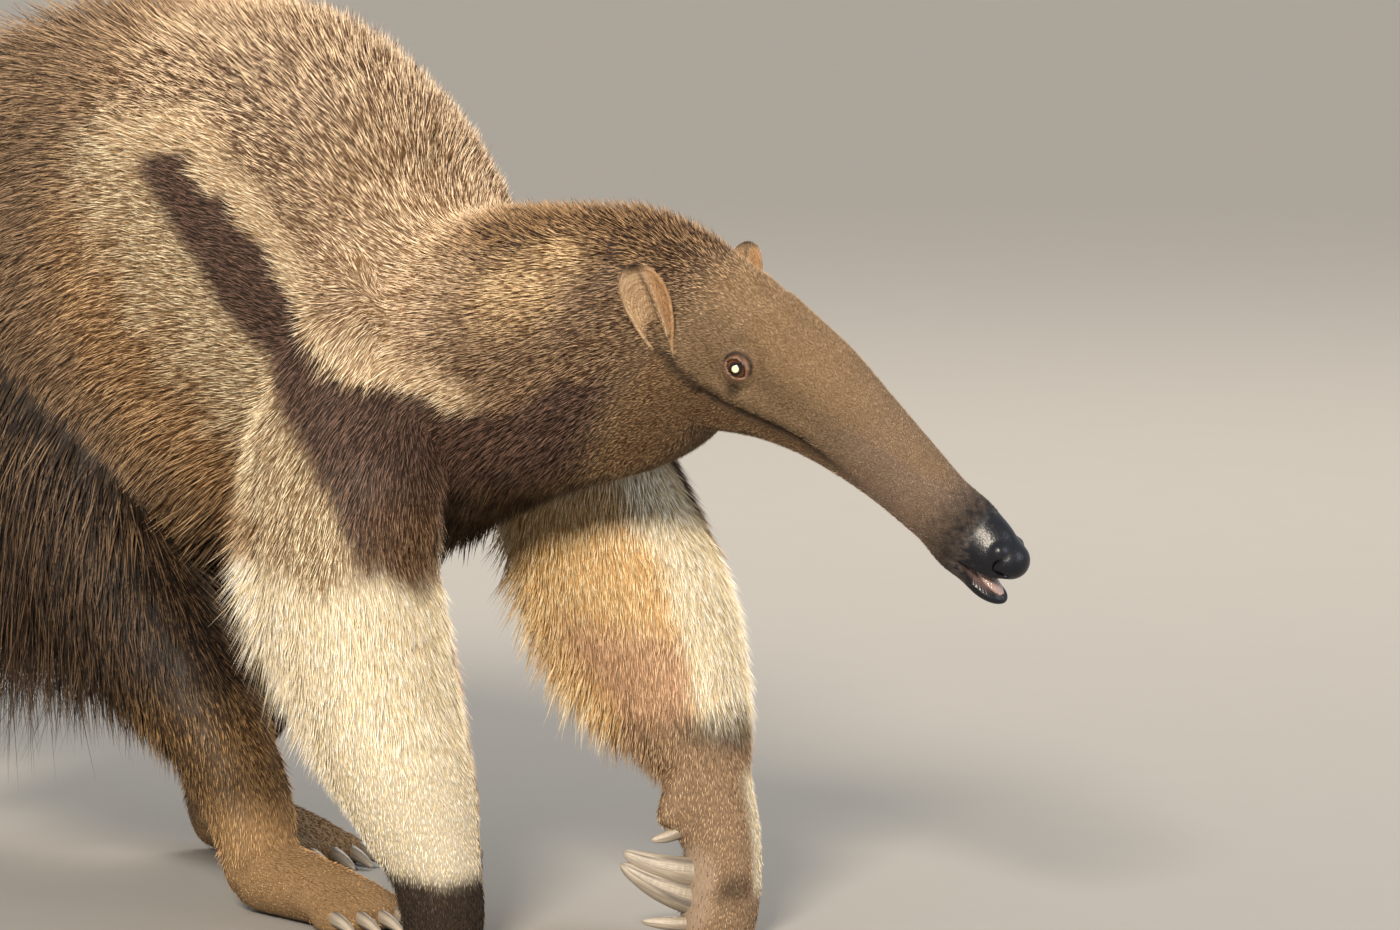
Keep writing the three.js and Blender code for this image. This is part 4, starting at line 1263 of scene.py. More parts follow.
@dataclass
class Lie:
    """Which way the hair lies, how far it stands up, how long it is and how it hangs."""

    anatomy: Anatomy

    def direction(self, ground: Terrain) -> Array:
        """Finds the way that the hair lies along the skin, before it is raised.

        Args:
            ground: the skin's places.

        Returns:
            Directions.
        """
        anatomy = self.anatomy
        total = np.zeros_like(ground.places)
        ahead = anatomy.trunk.body().section(ground.share[Region.BODY])[1]
        side = np.abs(np.cos(ground.angle[Region.BODY]))
        x, _, z = ground.places.T
        past = (x + 300) * BEHIND[0] + (z - 500) * BEHIND[1]
        neck = ramp(x, -40, 20) * ramp(ground.head[:, 0], 30, -10)
        sink = 0.06 + 0.62 * side * ramp(past, -20, 140) * ramp(x, 0, -80) + 0.3 * neck
        sink += 1.5 * ramp(x, -380, -520) * ramp(z, 430, 320)
        way = -ahead - UP * sink[:, None]
        total += way * ground.part(Region.BODY)[:, None]
        for region, limb in zip((*ARMS, *LEGS), (*anatomy.arms.values(), *anatomy.legs.values())):
            ahead = limb.section(ground.share[region])[1]
            rear = np.clip(-np.sin(ground.angle[region]), 0, 1)
            way = unit(ahead * 0.7 - UP * 0.3) - FRONT * (0.15 + 0.5 * rear)[:, None]
            if region in LEGS:
                way = way - UP * (0.9 * ramp(z, 150, 270))[:, None]
            total += way * ground.part(region)[:, None]
        ahead = anatomy.trunk.tail_form().section(ground.share[Region.TAIL])[1]
        side = np.abs(np.cos(ground.angle[Region.TAIL]))
        total += (ahead - UP * (0.25 + 0.5 * side)[:, None]) * ground.part(Region.TAIL)[:, None]
        total += (FRONT - UP * 0.35) * ground.part(*FEET)[:, None]
        for region, side in zip(EARS, SIDES):
            total += unit(anatomy.ears[side].axes()[1]) * ground.part(region)[:, None]
        return unit(total)

    def length(self, ground: Terrain) -> Array:
        """Measures the hair.

        Args:
            ground: the skin's places.

        Returns:
            Lengths in millimetres.
        """
        x, _, z = ground.places.T
        along = ground.head[:, 0]
        angle = ground.angle[Region.BODY]
        top = ramp(np.sin(angle), 0.72, 0.98)
        under = ramp(-np.sin(angle), 0.1, 0.8)
        body = np.interp(x, [-640, -480, -300, -150, -60, 60, 140], [42, 25, 16.5, 13, 12, 11, 10])
        crest = np.interp(x, [-660, -500, -380, -280, -180, -90, 60, 140], [80, 52, 32, 24, 19, 15, 14, 10])
        skirt = np.interp(x, [-640, -500, -400, -250, -120, -20, 60], [195, 190, 125, 54, 34, 20, 12])
        body = body + (crest - body) * top
        body = body + (skirt - body) * under
        face = np.interp(along, [-20, 10, 40, 80, 150, 225, 240], [6.8, 5.0, 3.8, 3.2, 2.7, 2.0, 1.0])
        for side in SIDES:
            face = face * (0.4 + 0.6 * ramp(self.anatomy.eye.off_axis(ground.head, side), 7, 17))
        body = np.where(along > -20, np.minimum(body, face), body)
        total = body * ground.part(Region.BODY)
        for region in ARMS:
            angle = ground.angle[region]
            rear, front = ramp(-np.sin(angle), 0.35, 0.95), ramp(np.sin(angle), 0.3, 0.9)
            high = np.interp(z, [0, 40, 90, 150, 240, 300], [4, 4.5, 5.5, 11, 14, 16])
            fringe = np.interp(z, [30, 80, 105, 140, 180, 250, 330], [5, 6, 14, 36, 42, 40, 24])
            total += (high + (fringe - high) * rear + 6 * front * ramp(z, 110, 150)) * ground.part(region)
        for region in LEGS:
            angle = ground.angle[region]
            rear = ramp(-np.sin(angle), 0.2, 0.9)
            high = np.interp(z, [20, 60, 130, 200, 260, 400], [6, 9, 15, 30, 52, 56])
            fringe = np.interp(z, [40, 90, 150, 240, 400], [8, 18, 46, 110, 140])
            total += (high + (fringe - high) * rear) * ground.part(region)
        share, angle = ground.share[Region.TAIL], ground.angle[Region.TAIL]
        reach = np.interp(share, [0, 0.3, 0.6, 0.85, 1], [80, 115, 112, 92, 72])
        low_side = ramp(-np.sin(angle), -0.4, 0.9)
        total += reach * (1 + 0.45 * low_side) * ground.part(Region.TAIL)
        total += np.interp(z, [0, 20, 50], [3.5, 5, 7]) * ground.part(*FEET)
        total += 3.4 * ground.part(*EARS)
        return total

    def lift(self, ground: Terrain) -> Array:
        """Finds how steeply the hair stands up from the skin.

        Args:
            ground: the skin's places.

        Returns:
            Angles in radians.
        """
        x = ground.places[:, 0]
        angle = ground.angle[Region.BODY]
        top = ramp(np.sin(angle), 0.7, 0.98)
        crest = np.interp(x, [-640, -480, -300, -180, -60, 40, 120, 150], [38, 44, 48, 36, 40, 52, 46, 20])
        body = np.interp(x, [-200, -60, 20], [20, 24, 32])
        body = body + (crest - body) * top
        under = ramp(-np.sin(angle), 0.2, 0.9)
        body = body + (34 - body) * under
        along = ground.head[:, 0]
        body = np.where(along > -10, 24, body)
        total = body * ground.part(Region.BODY)
        for region in (*ARMS, *LEGS):
            rear = ramp(-np.sin(ground.angle[region]), 0.2, 0.9)
            total += (13 + 30 * rear) * ground.part(region)
        total += 26 * ground.part(Region.TAIL) + 12 * ground.part(*FEET) + 16 * ground.part(*EARS)
        return np.radians(total)

    def droop(self, length: Array) -> Array:
        """How far the tip of the hair hangs down, in millimetres."""
        return 0.22 * length * ramp(length, 14, 80)

    def cover(self, ground: Terrain) -> Array:
        """Finds how densely the hair grows.

        Args:
            ground: the skin's places.

        Returns:
            Shares, 0 to 1.
        """
        along = ground.head[:, 0]
        bare = ramp(along, 226, 240) * ground.part(Region.BODY)
        eye = self.anatomy.eye
        total = 1 - bare
        for side in SIDES:
            total *= ramp(eye.off_axis(ground.head, side), eye.rim + 0.4, eye.rim + 2.6)
        sole = ramp(ground.places[:, 2], 2.5, 7) * ramp(-ground.normals[:, 2], 0.95, 0.7)
        low = ground.places[:, 2] < 60
        total = np.where(low, total * sole, total)
        for hand in self.anatomy.hands.values():
            total *= 1 - 0.9 * hand.palm(ground.places)
        for region in EARS:
            inside = ramp(ground.angle[region], -0.35, 0.0)
            total = np.where(ground.ear != 0, total * (1 - 0.86 * inside * ground.part(region)), total)
        return np.clip(total, 0, 1)


def linear(code: str) -> Array:
    """Turns an sRGB hex colour into linear red, green and blue."""
    part = np.array([int(code[i : i + 2], 16) / 255 for i in (1, 3, 5)])
    return np.where(part <= 0.04045, part / 12.92, ((part + 0.055) / 1.055) ** 2.4)


class Tone(Enum):
    """The colours of the coat, each matched as the two ends between which its hairs vary."""

    HUMP = ("#583b22", "#efd4b0")
    SHOULDER = ("#83603c", "#ffe6c2")
    NECK = ("#4d341d", "#b89a7a")
    BUFF = ("#845e32", "#ffe2b0")
    NAPE = ("#331c0b", "#b8946a")
    STRIPE = ("#37261c", "#86695a")
    CHEST = ("#4e3218", "#b8966e")
    CREAM = ("#b3946f", "#fff0cf")
    PALE = ("#8f7250", "#fff0cc")
    GOLD = ("#684828", "#dcb88b")
    FLANK = ("#4e3a27", "#a88c6e")
    LOW_FLANK = ("#1c1006", "#57442f")
    THIGH = ("#140b05", "#5c4733")
    SHANK = ("#3c270f", "#a07f54")
    FOOT = ("#9a784e", "#dbb485")
    WHITE = ("#e6d3ac", "#fffdf4")
    TAN = ("#cfa468", "#ffedc4")
    PINK = ("#b68e6c", "#ecc8a4")
    FAR_LOW = ("#866a4b", "#c8a884")
    FACE = ("#6e583f", "#b99b78")
    CROWN = ("#806443", "#cfae88")
    SNOUT = ("#745f51", "#c2a68a")
    MUZZLE = ("#2a2424", "#524740")
    BARE = ("#0b0c12", "#171920")
    LID = ("#543a2b", "#a27d63")
    LID_RING = ("#7a6047", "#c3a07c")
    MOUTH = ("#6a504c", "#ab938d")
    # painted shade: dark lines along the cheek crease and the upper lids, a dark patch below the eye, and
    # the dark rim of the eye opening, partly its own colour and partly painted shade
    CREASE = ("#1d1109", "#4a3523")
    EAR_IN = ("#b8936c", "#ffdfb8")
    EAR_FRONT = ("#a97e54", "#edc091")
    # painted shade in the gap just behind the fold inside the ear
    EAR_FOLD_SHADE = ("#4c3826", "#8d7050")
    EAR_OUT = ("#352718", "#8a6f50")
    TAIL = ("#1d120a", "#6b543b")
    HAND = ("#86694e", "#d6b793")
    PALM = ("#7c6a59", "#b6a08a")
    SOLE = ("#2a2421", "#3f3630")


Painter = Callable[[Array, Tone], None]


@dataclass
class Markings:
    """The pattern of the coat: the black stripe with its pale edge, pale forelegs and dark rear, with
    painted shade on the face, in the ears and under the body.
    """

    head: Head
    ears: dict[int, Ear]
    hands: dict[int, Hand]
    stripe_top: tuple = (
        (-300, 502), (-258, 502), (-220, 478), (-178, 454), (-129, 412), (-86, 382),
        (-23, 354), (18, 346), (38, 348), (105, 371), (134, 384), (156, 392),
    )
    stripe_low: tuple = (
        (-300, 500), (-263, 469), (-210, 427), (-167, 390), (-117, 355), (-61, 314), (-27, 278), (-10, 253),
    )

    def colours(self, ground: Terrain) -> tuple[Array, Array]:
        """Paints the whole coat.

        Args:
            ground: the skin's places.

        Returns:
            The dark and the light end of its colour, linear.
        """
        dark, light = np.zeros_like(ground.places), np.zeros_like(ground.places)

        def paint(mask: Array, tone: Tone) -> None:
            """Lays one colour over the others where the mask is 1.

            Args:
                mask: where.
                tone: the colour.
            """
            weight = np.clip(mask, 0, 1)[:, None]
            for laid, code in zip((dark, light), tone.value):
                laid[:] = laid * (1 - weight) + linear(code) * weight

        self.paint_body(ground, paint)
        self.paint_face(ground, paint)
        self.paint_limbs(ground, paint)
        return dark, light

    def paint_body(self, ground: Terrain, paint: Painter) -> None:
        """Paints back, neck, stripe and flanks, and painted shade on the downward-facing underside.

        Args:
            ground: the skin's places.
            paint: lays a colour on.
        """
        x, _, z = ground.places.T
        wobble = 3.5 * ripple(ground.places, 26, 3) + 1.6 * ripple(ground.places, 9, 4)
        paint(np.ones(len(x)), Tone.HUMP)
        paint(ramp(x, -190, -60), Tone.SHOULDER)
        paint(ramp(x, -50, 30), Tone.NECK)
        ring = np.hypot(x - 40, (z - 452) * 0.8)
        paint(ramp(ring, 58, 22) * 0.85, Tone.BUFF)
        crest = ramp(np.sin(ground.angle[Region.BODY]) + 0.03 * wobble, 0.56, 0.86)
        paint(crest * ramp(x, -70, 0) * ramp(x, 158, 128), Tone.NAPE)
        top_x, top_z = np.array(self.stripe_top, float).T
        low_x, low_z = np.array(self.stripe_low, float).T
        top, low = np.interp(x, top_x, top_z), np.interp(x, low_x, low_z)
        slope = 0.8
        above = (z - top) * slope + wobble
        below = (low - z) * slope + wobble * 0.8
        from_end = np.hypot(x + 292, z - 500)
        front = ramp(x, -24, 6)
        past = (x - low_x[0]) * BEHIND[0] + (z - low_z[0]) * BEHIND[1] + wobble * 2.5
        rear = ramp(below, -3, 3) * (1 - front)
        behind = np.clip(np.maximum(rear, ramp(x, -300, -316) * ramp(above, 14, 4)), 0, 1)
        paint(behind, Tone.PALE)
        paint(behind * ramp(past, 34, 74), Tone.GOLD)
        paint(behind * ramp(past, 92, 150), Tone.FLANK)
        paint(behind * ramp(past, 168, 225), Tone.LOW_FLANK)
        back = ramp(x, -310, -430) * (1 - behind)
        paint(back, Tone.GOLD)
        paint(ramp(x, -320, -420), Tone.FLANK)
        paint(ramp(x, -540, -620), Tone.LOW_FLANK)
        edge = ramp(above, 24, 12) * ramp(above, -3, 2) * ramp(x, -372, -330)
        edge = np.maximum(edge, ramp(from_end, 26, 14) * ramp(x, -296, -306))
        paint(edge * ramp(x, 46, 0), Tone.CREAM)
        inside = ramp(above, 2.5, -2.5) * np.maximum(ramp(below, 2.5, -2.5), front)
        inside *= np.maximum(ramp(x, -306, -298), ramp(from_end, 12, 7))
        paint(inside, Tone.STRIPE)
        paint(inside * ramp(z, top - 34, top - 74) * ramp(x, -40, 30), Tone.CHEST)
        # painted shade: surfaces that face downwards are darkened with the dark flank tone
        underside_shade = ramp(-ground.normals[:, 2], 0.45, 0.8) * ramp(z, 330, 280)
        paint(underside_shade, Tone.LOW_FLANK)

    def paint_face(self, ground: Terrain, paint: Painter) -> None:
        """Paints head, ears and nose, with painted shade along the cheek crease, under it, below the eye and
        round the upper lids.

        Args:
            ground: the skin's places.
            paint: lays a colour on.
        """
        along, out, up = ground.head.T
        out = np.abs(out)
        on_body = ground.part(Region.BODY)
        paint(ramp(along, -26, 6) * on_body, Tone.FACE)
        paint(ramp(along, -20, 10) * ramp(up, 14, 32) * on_body, Tone.CROWN)
        paint(ramp(along, 90, 170) * on_body, Tone.SNOUT)
        paint(ramp(up, 10, 20) * ramp(along, 40, 80) * ramp(along, 218, 190) * on_body * 0.6, Tone.CROWN)
        head = self.head
        crease = head.on_line(head.crease, along)
        side = ramp(out, 14, 24) * ramp(along, -14, 8) * ramp(along, 175, 100) * on_body
        # painted shade: a dark line along the cheek crease and a darker jaw below it
        paint(ramp(up - crease, 4, -5) * side * 0.8, Tone.CHEST)
        paint(bell(up - crease, -1, 6) * side, Tone.CREASE)
        speckle = 3 * ripple(ground.places, 4, 8) + 2.5 * ripple(ground.places, 2.2, 9)
        paint(ramp(along + speckle, 192, 236) * on_body, Tone.MUZZLE)
        paint(ramp(along + 1.5 * speckle + 0.25 * up, 228, 242) * on_body, Tone.BARE)
        middle, half = head.on_line(head.gap_middle, along), head.on_line(head.gap_half, along)
        inside = ramp(np.abs(up - middle) - half, 0.2, -0.8) * ramp(out, 10.5, 8.5) * ramp(along, 239, 243)
        paint(inside * ramp(along, 268, 262), Tone.MOUTH)
        eye = head.eye
        from_eye = np.minimum(*(eye.off_axis(ground.head, side) for side in SIDES))
        above = ramp(up - eye.up, -2, 3)
        paint(bell(from_eye, 13.5, 4) * above * on_body * 0.8, Tone.LID_RING)
        # painted shade: a dark patch below the eye
        paint(ramp(np.hypot(along - 54, up + 9), 7, 3) * ramp(out, 20, 30) * 0.7, Tone.CREASE)
        paint(ramp(from_eye, 10.4, 8.6) * on_body, Tone.LID)
        # painted shade along the upper lid; the rim round the opening is its own dark colour, made darker
        # above as painted shade
        paint(bell(from_eye, 9.4, 2.2) * above * on_body, Tone.CREASE)
        paint(ramp(from_eye, eye.rim - 0.2, eye.rim - 1.2) * on_body * (0.4 + 0.6 * above), Tone.CREASE)
        for region, side in zip(EARS, SIDES):
            ear = self.ears[side]
            inside = ramp(ground.angle[region], -0.6, -0.3) * ramp(ground.share[region], 1.0, 0.85)
            ahead = ear.before_fold(ground.places)
            paint(ground.part(region), Tone.EAR_OUT)
            paint(ground.part(region) * inside, Tone.EAR_IN)
            paint(ground.part(region) * inside * ramp(ahead, 0.5, 3), Tone.EAR_FRONT)
            # painted shade in the gap just behind the fold inside the ear
            paint(ground.part(region) * inside * bell(ahead, -3.2, 2.6) * 0.8, Tone.EAR_FOLD_SHADE)

    def paint_limbs(self, ground: Terrain, paint: Painter) -> None:
        """Paints forelegs, hind legs and tail.

        Args:
            ground: the skin's places.
            paint: lays a colour on.
        """
        z = ground.places[:, 2]
        wobble = 5 * ripple(ground.places, 30, 5) + 2 * ripple(ground.places, 9, 6)
        for region, side in zip(ARMS, SIDES):
            on_arm = ground.part(region) * ramp(z, 330, 290)
            outer = side * ground.normals[:, 1]
            front = ground.normals[:, 0]
            start = 240 + 30 * np.clip(-front, 0, 1) + wobble
            start += 90 * (side == LEFT) * ramp(outer - 0.5 * front, 0.5, -0.2)
            white = ramp(z, start + 8, start - 8)
            paint(on_arm * white, Tone.WHITE)
            inner = ramp(outer + 0.75 * front, -0.1, -0.5)
            paint(on_arm * white * inner, Tone.TAN)
            rear = ramp(-np.sin(ground.angle[region]), 0.25, 0.7)
            paint(on_arm * inner * ramp(z, 215, 185) * (1 - rear), Tone.PINK)
            paint(on_arm * inner * ramp(z, 150, 120) * (1 - 0.6 * rear), Tone.FAR_LOW)
            if side == RIGHT:
                paint(on_arm * ramp(z + wobble * 0.8, 58, 44), Tone.LOW_FLANK)
                continue
            band = bell(z + wobble * 0.6, 140, 20) * ramp(front, 0.1, 0.6) * ramp(outer, 0.9, 0.5)
            paint(on_arm * ramp(z + wobble * 0.5, 146, 130), Tone.HAND)
            paint(on_arm * band * 0.7, Tone.LOW_FLANK)
            edge = ramp(0.6 * front + 0.8 * outer, 0.62, 0.9) * ramp(z, 24, 40) * ramp(z, 116, 100)
            paint(on_arm * edge, Tone.WHITE)
            spot = bell(z + wobble * 0.5, 36, 13) * ramp(front, 0.35, 0.7) * ramp(outer, 0.2, -0.2)
            paint(on_arm * spot * 0.75, Tone.LOW_FLANK)
        for hand in self.hands.values():
            paint(hand.palm(ground.places), Tone.PALM)
        for region in LEGS:
            on_leg = ground.part(region)
            paint(on_leg, Tone.THIGH)
            paint(on_leg * ramp(z, 170, 110), Tone.SHANK)
            paint(on_leg * ramp(z, 90, 50), Tone.FOOT)
        paint(ground.part(*FEET), Tone.FOOT)
        paint(ground.part(Region.TAIL), Tone.TAIL)
        paint(ramp(z, 3.5, 1.0) * ramp(-ground.normals[:, 2], 0.8, 0.95), Tone.SOLE)


@dataclass
class Pelt:
    """Writes the lie, length and colours of the coat on the skin as attributes."""

    anatomy: Anatomy
    stance: Stance
    wide: tuple[float, ...] = (120, 60, 60, 60, 60, 60, 40, 40, 30, 30)
    long: tuple[float, ...] = (1100, 420, 420, 460, 440, 900, 140, 140, 60, 60)

    def ground(self, mesh: Mesh) -> Terrain:
        """Surveys the skin's mesh.

        Args:
            mesh: the skin's mesh.

        Returns:
            The terrain.
        """
        places = values_of(mesh.vertices, "co", np.float32, 3).reshape(-1, 3).astype(float)
        normals = values_of(mesh.vertex_normals, "vector", np.float32, 3).reshape(-1, 3).astype(float)
        marks = values_of(mesh.attributes["ear"].data, "value")
        return survey(self.anatomy, self.stance.read(places), normals, marks)

    def dress(self, skin: Object) -> Terrain:
        """Writes the attributes.

        Args:
            skin: the skin.

        Returns:
            The terrain.
        """
        mesh = skin.data
        ground = self.ground(mesh)
        lie = Lie(self.anatomy)
        way = lie.direction(ground)
        length = lie.length(ground)
        lift = lie.lift(ground)
        links = values_of(mesh.edges, "vertices", size=2).reshape(-1, 2)
        way = unit(spread(way, links, 8))
        length, lift = spread(length[:, None], links, 6)[:, 0], spread(lift[:, None], links, 6)[:, 0]
        way = unit(way - ground.normals * (way * ground.normals).sum(1)[:, None])
        raised = way * np.cos(lift)[:, None] + ground.normals * np.sin(lift)[:, None]
        dark, light = Markings(self.anatomy.head, self.anatomy.ears, self.anatomy.hands).colours(ground)
        write(mesh, "lie", raised)
        write(mesh, "length", length * MM)
        write(mesh, "droop", lie.droop(length) * MM)
        cover = lie.cover(ground)
        write(mesh, "cover", cover)
        along = ground.head[:, 0]
        palm = sum(hand.palm(ground.places) for hand in self.anatomy.hands.values())
        write(mesh, "bare", np.clip(1 - cover, 0, 1) * np.maximum(ramp(along, 20, 30), 0.6 * palm))
        write(mesh, "dark_tone", dark)
        write(mesh, "light_tone", light)
        self.unwrap(mesh, ground)
        return ground

    def unwrap(self, mesh: Mesh, ground: Terrain) -> None:
        """Unrolls each region on a tile of its own, and along its hair in millimetres.

        Args:
            mesh: the skin's mesh.
            ground: the skin's places.
        """
        corners = values_of(mesh.loops, "vertex_index")
        totals = values_of(mesh.polygons, "loop_total")
        face = np.repeat(np.arange(len(totals)), totals)
        first = np.concatenate([[0], np.cumsum(totals)[:-1]])
        owner = ground.owner[corners[first]][face]
        angle = ground.angle[owner, corners]
        share = ground.share[owner, corners]
        start = ground.angle[owner, corners[first][face]]
        angle = start + (angle - start + math.pi) % (2 * math.pi) - math.pi
        columns = 4
        tile = np.stack([owner % columns, owner // columns], axis=1) / columns
        turn = angle / (2 * math.pi) + 0.5
        local = np.stack([0.04 + 0.92 * turn, 0.04 + 0.92 * share], axis=1) / columns
        write_map(mesh, "Root", tile + local)
        wide, long = np.array(self.wide, float)[owner], np.array(self.long, float)[owner]
        write_map(mesh, "Flow", np.stack([angle * wide, share * long], axis=1) * MM)


def spread(values: Array, links: Array, rounds: int) -> Array:
    """Evens out values over a mesh along its edges.

    Args:
        values: a row of numbers for each vertex.
        links: the two ends of each edge.
        rounds: how often.

    Returns:
        The evened values.
    """
    count = len(values)
    one, other = links.T
    degree = np.bincount(links.ravel(), minlength=count)[:, None]
    for _ in range(rounds):
        sums = [np.bincount(one, v[other], count) + np.bincount(other, v[one], count) for v in values.T]
        total = np.stack(sums, axis=1)
        values = 0.5 * values + 0.5 * total / np.maximum(degree, 1)
    return values


def write(mesh: Mesh, name: str, values: Array) -> None:
    """Writes numbers, directions or colours as an attribute of a mesh.

    Args:
        mesh: the mesh.
        name: the attribute; colours end in _tone.
        values: one or a row for each vertex.
    """
    colour = name.endswith("_tone")
    kind = "FLOAT_COLOR" if colour else ("FLOAT" if values.ndim == 1 else "FLOAT_VECTOR")
    layer = mesh.attributes.new(name, kind, "POINT")
    if colour:
        values = np.concatenate([values, np.ones((len(values), 1))], axis=1)
    key = "color" if colour else ("value" if values.ndim == 1 else "vector")
    layer.data.foreach_set(key, np.ascontiguousarray(values, np.float32).ravel())


def write_map(mesh: Mesh, name: str, values: Array) -> None:
    """Writes a UV map of a mesh."""
    layer = mesh.uv_layers.new(name=name)
    layer.uv.foreach_set("vector", np.ascontiguousarray(values, np.float32).ravel())


# Node trees


def node(
    tree: NodeTree,
    kind: str,
    settings: dict | None = None,
    feeds: dict | tuple = (),
    out: str | int | None = None,
) -> Node | NodeSocket:
    """Adds one node to a tree.

    Args:
        tree: a shader or geometry tree.
        kind: the node's type.
        settings: its properties by name.
        feeds: for its inputs, in order or by name or number, a socket to link or a value.
        out: the name or number of an output.

    Returns:
        The node, or its output where one is named.
    """
    made = tree.nodes.new(kind)
    for key, value in (settings or {}).items():
        setattr(made, key, value)
    for key, value in feeds.items() if isinstance(feeds, dict) else enumerate(feeds):
        target = made.inputs[key]
        if isinstance(value, NodeSocket):
            tree.links.new(value, target)
        else:
            target.default_value = value
    return made if out is None else made.outputs[out]


MATH, VECTOR = "ShaderNodeMath", "ShaderNodeVectorMath"
SPLIT, JOIN = "ShaderNodeSeparateXYZ", "ShaderNodeCombineXYZ"
POSITION, RANDOM = "GeometryNodeInputPosition", "FunctionNodeRandomValue"
READ, SET_POSITION = "GeometryNodeInputNamedAttribute", "GeometryNodeSetPosition"
MULTIPLY, ADD, SCALE = {"operation": "MULTIPLY"}, {"operation": "ADD"}, {"operation": "SCALE"}
SUBTRACT, MULTIPLY_ADD = {"operation": "SUBTRACT"}, {"operation": "MULTIPLY_ADD"}
LOWER, HIGHER = {"operation": "MINIMUM"}, {"operation": "MAXIMUM"}
FLOAT, VECTORS = {"data_type": "FLOAT"}, {"data_type": "FLOAT_VECTOR"}


@dataclass(frozen=True)
class Patch:
    """One piece of the coat: where it grows, and the number and the sizes of its hairs."""

    name: str
    layer: str
    number: int
    hairs: int
    width: float
    segments: int = 1
    longest: float = 24.0
    slot: str = "coat"


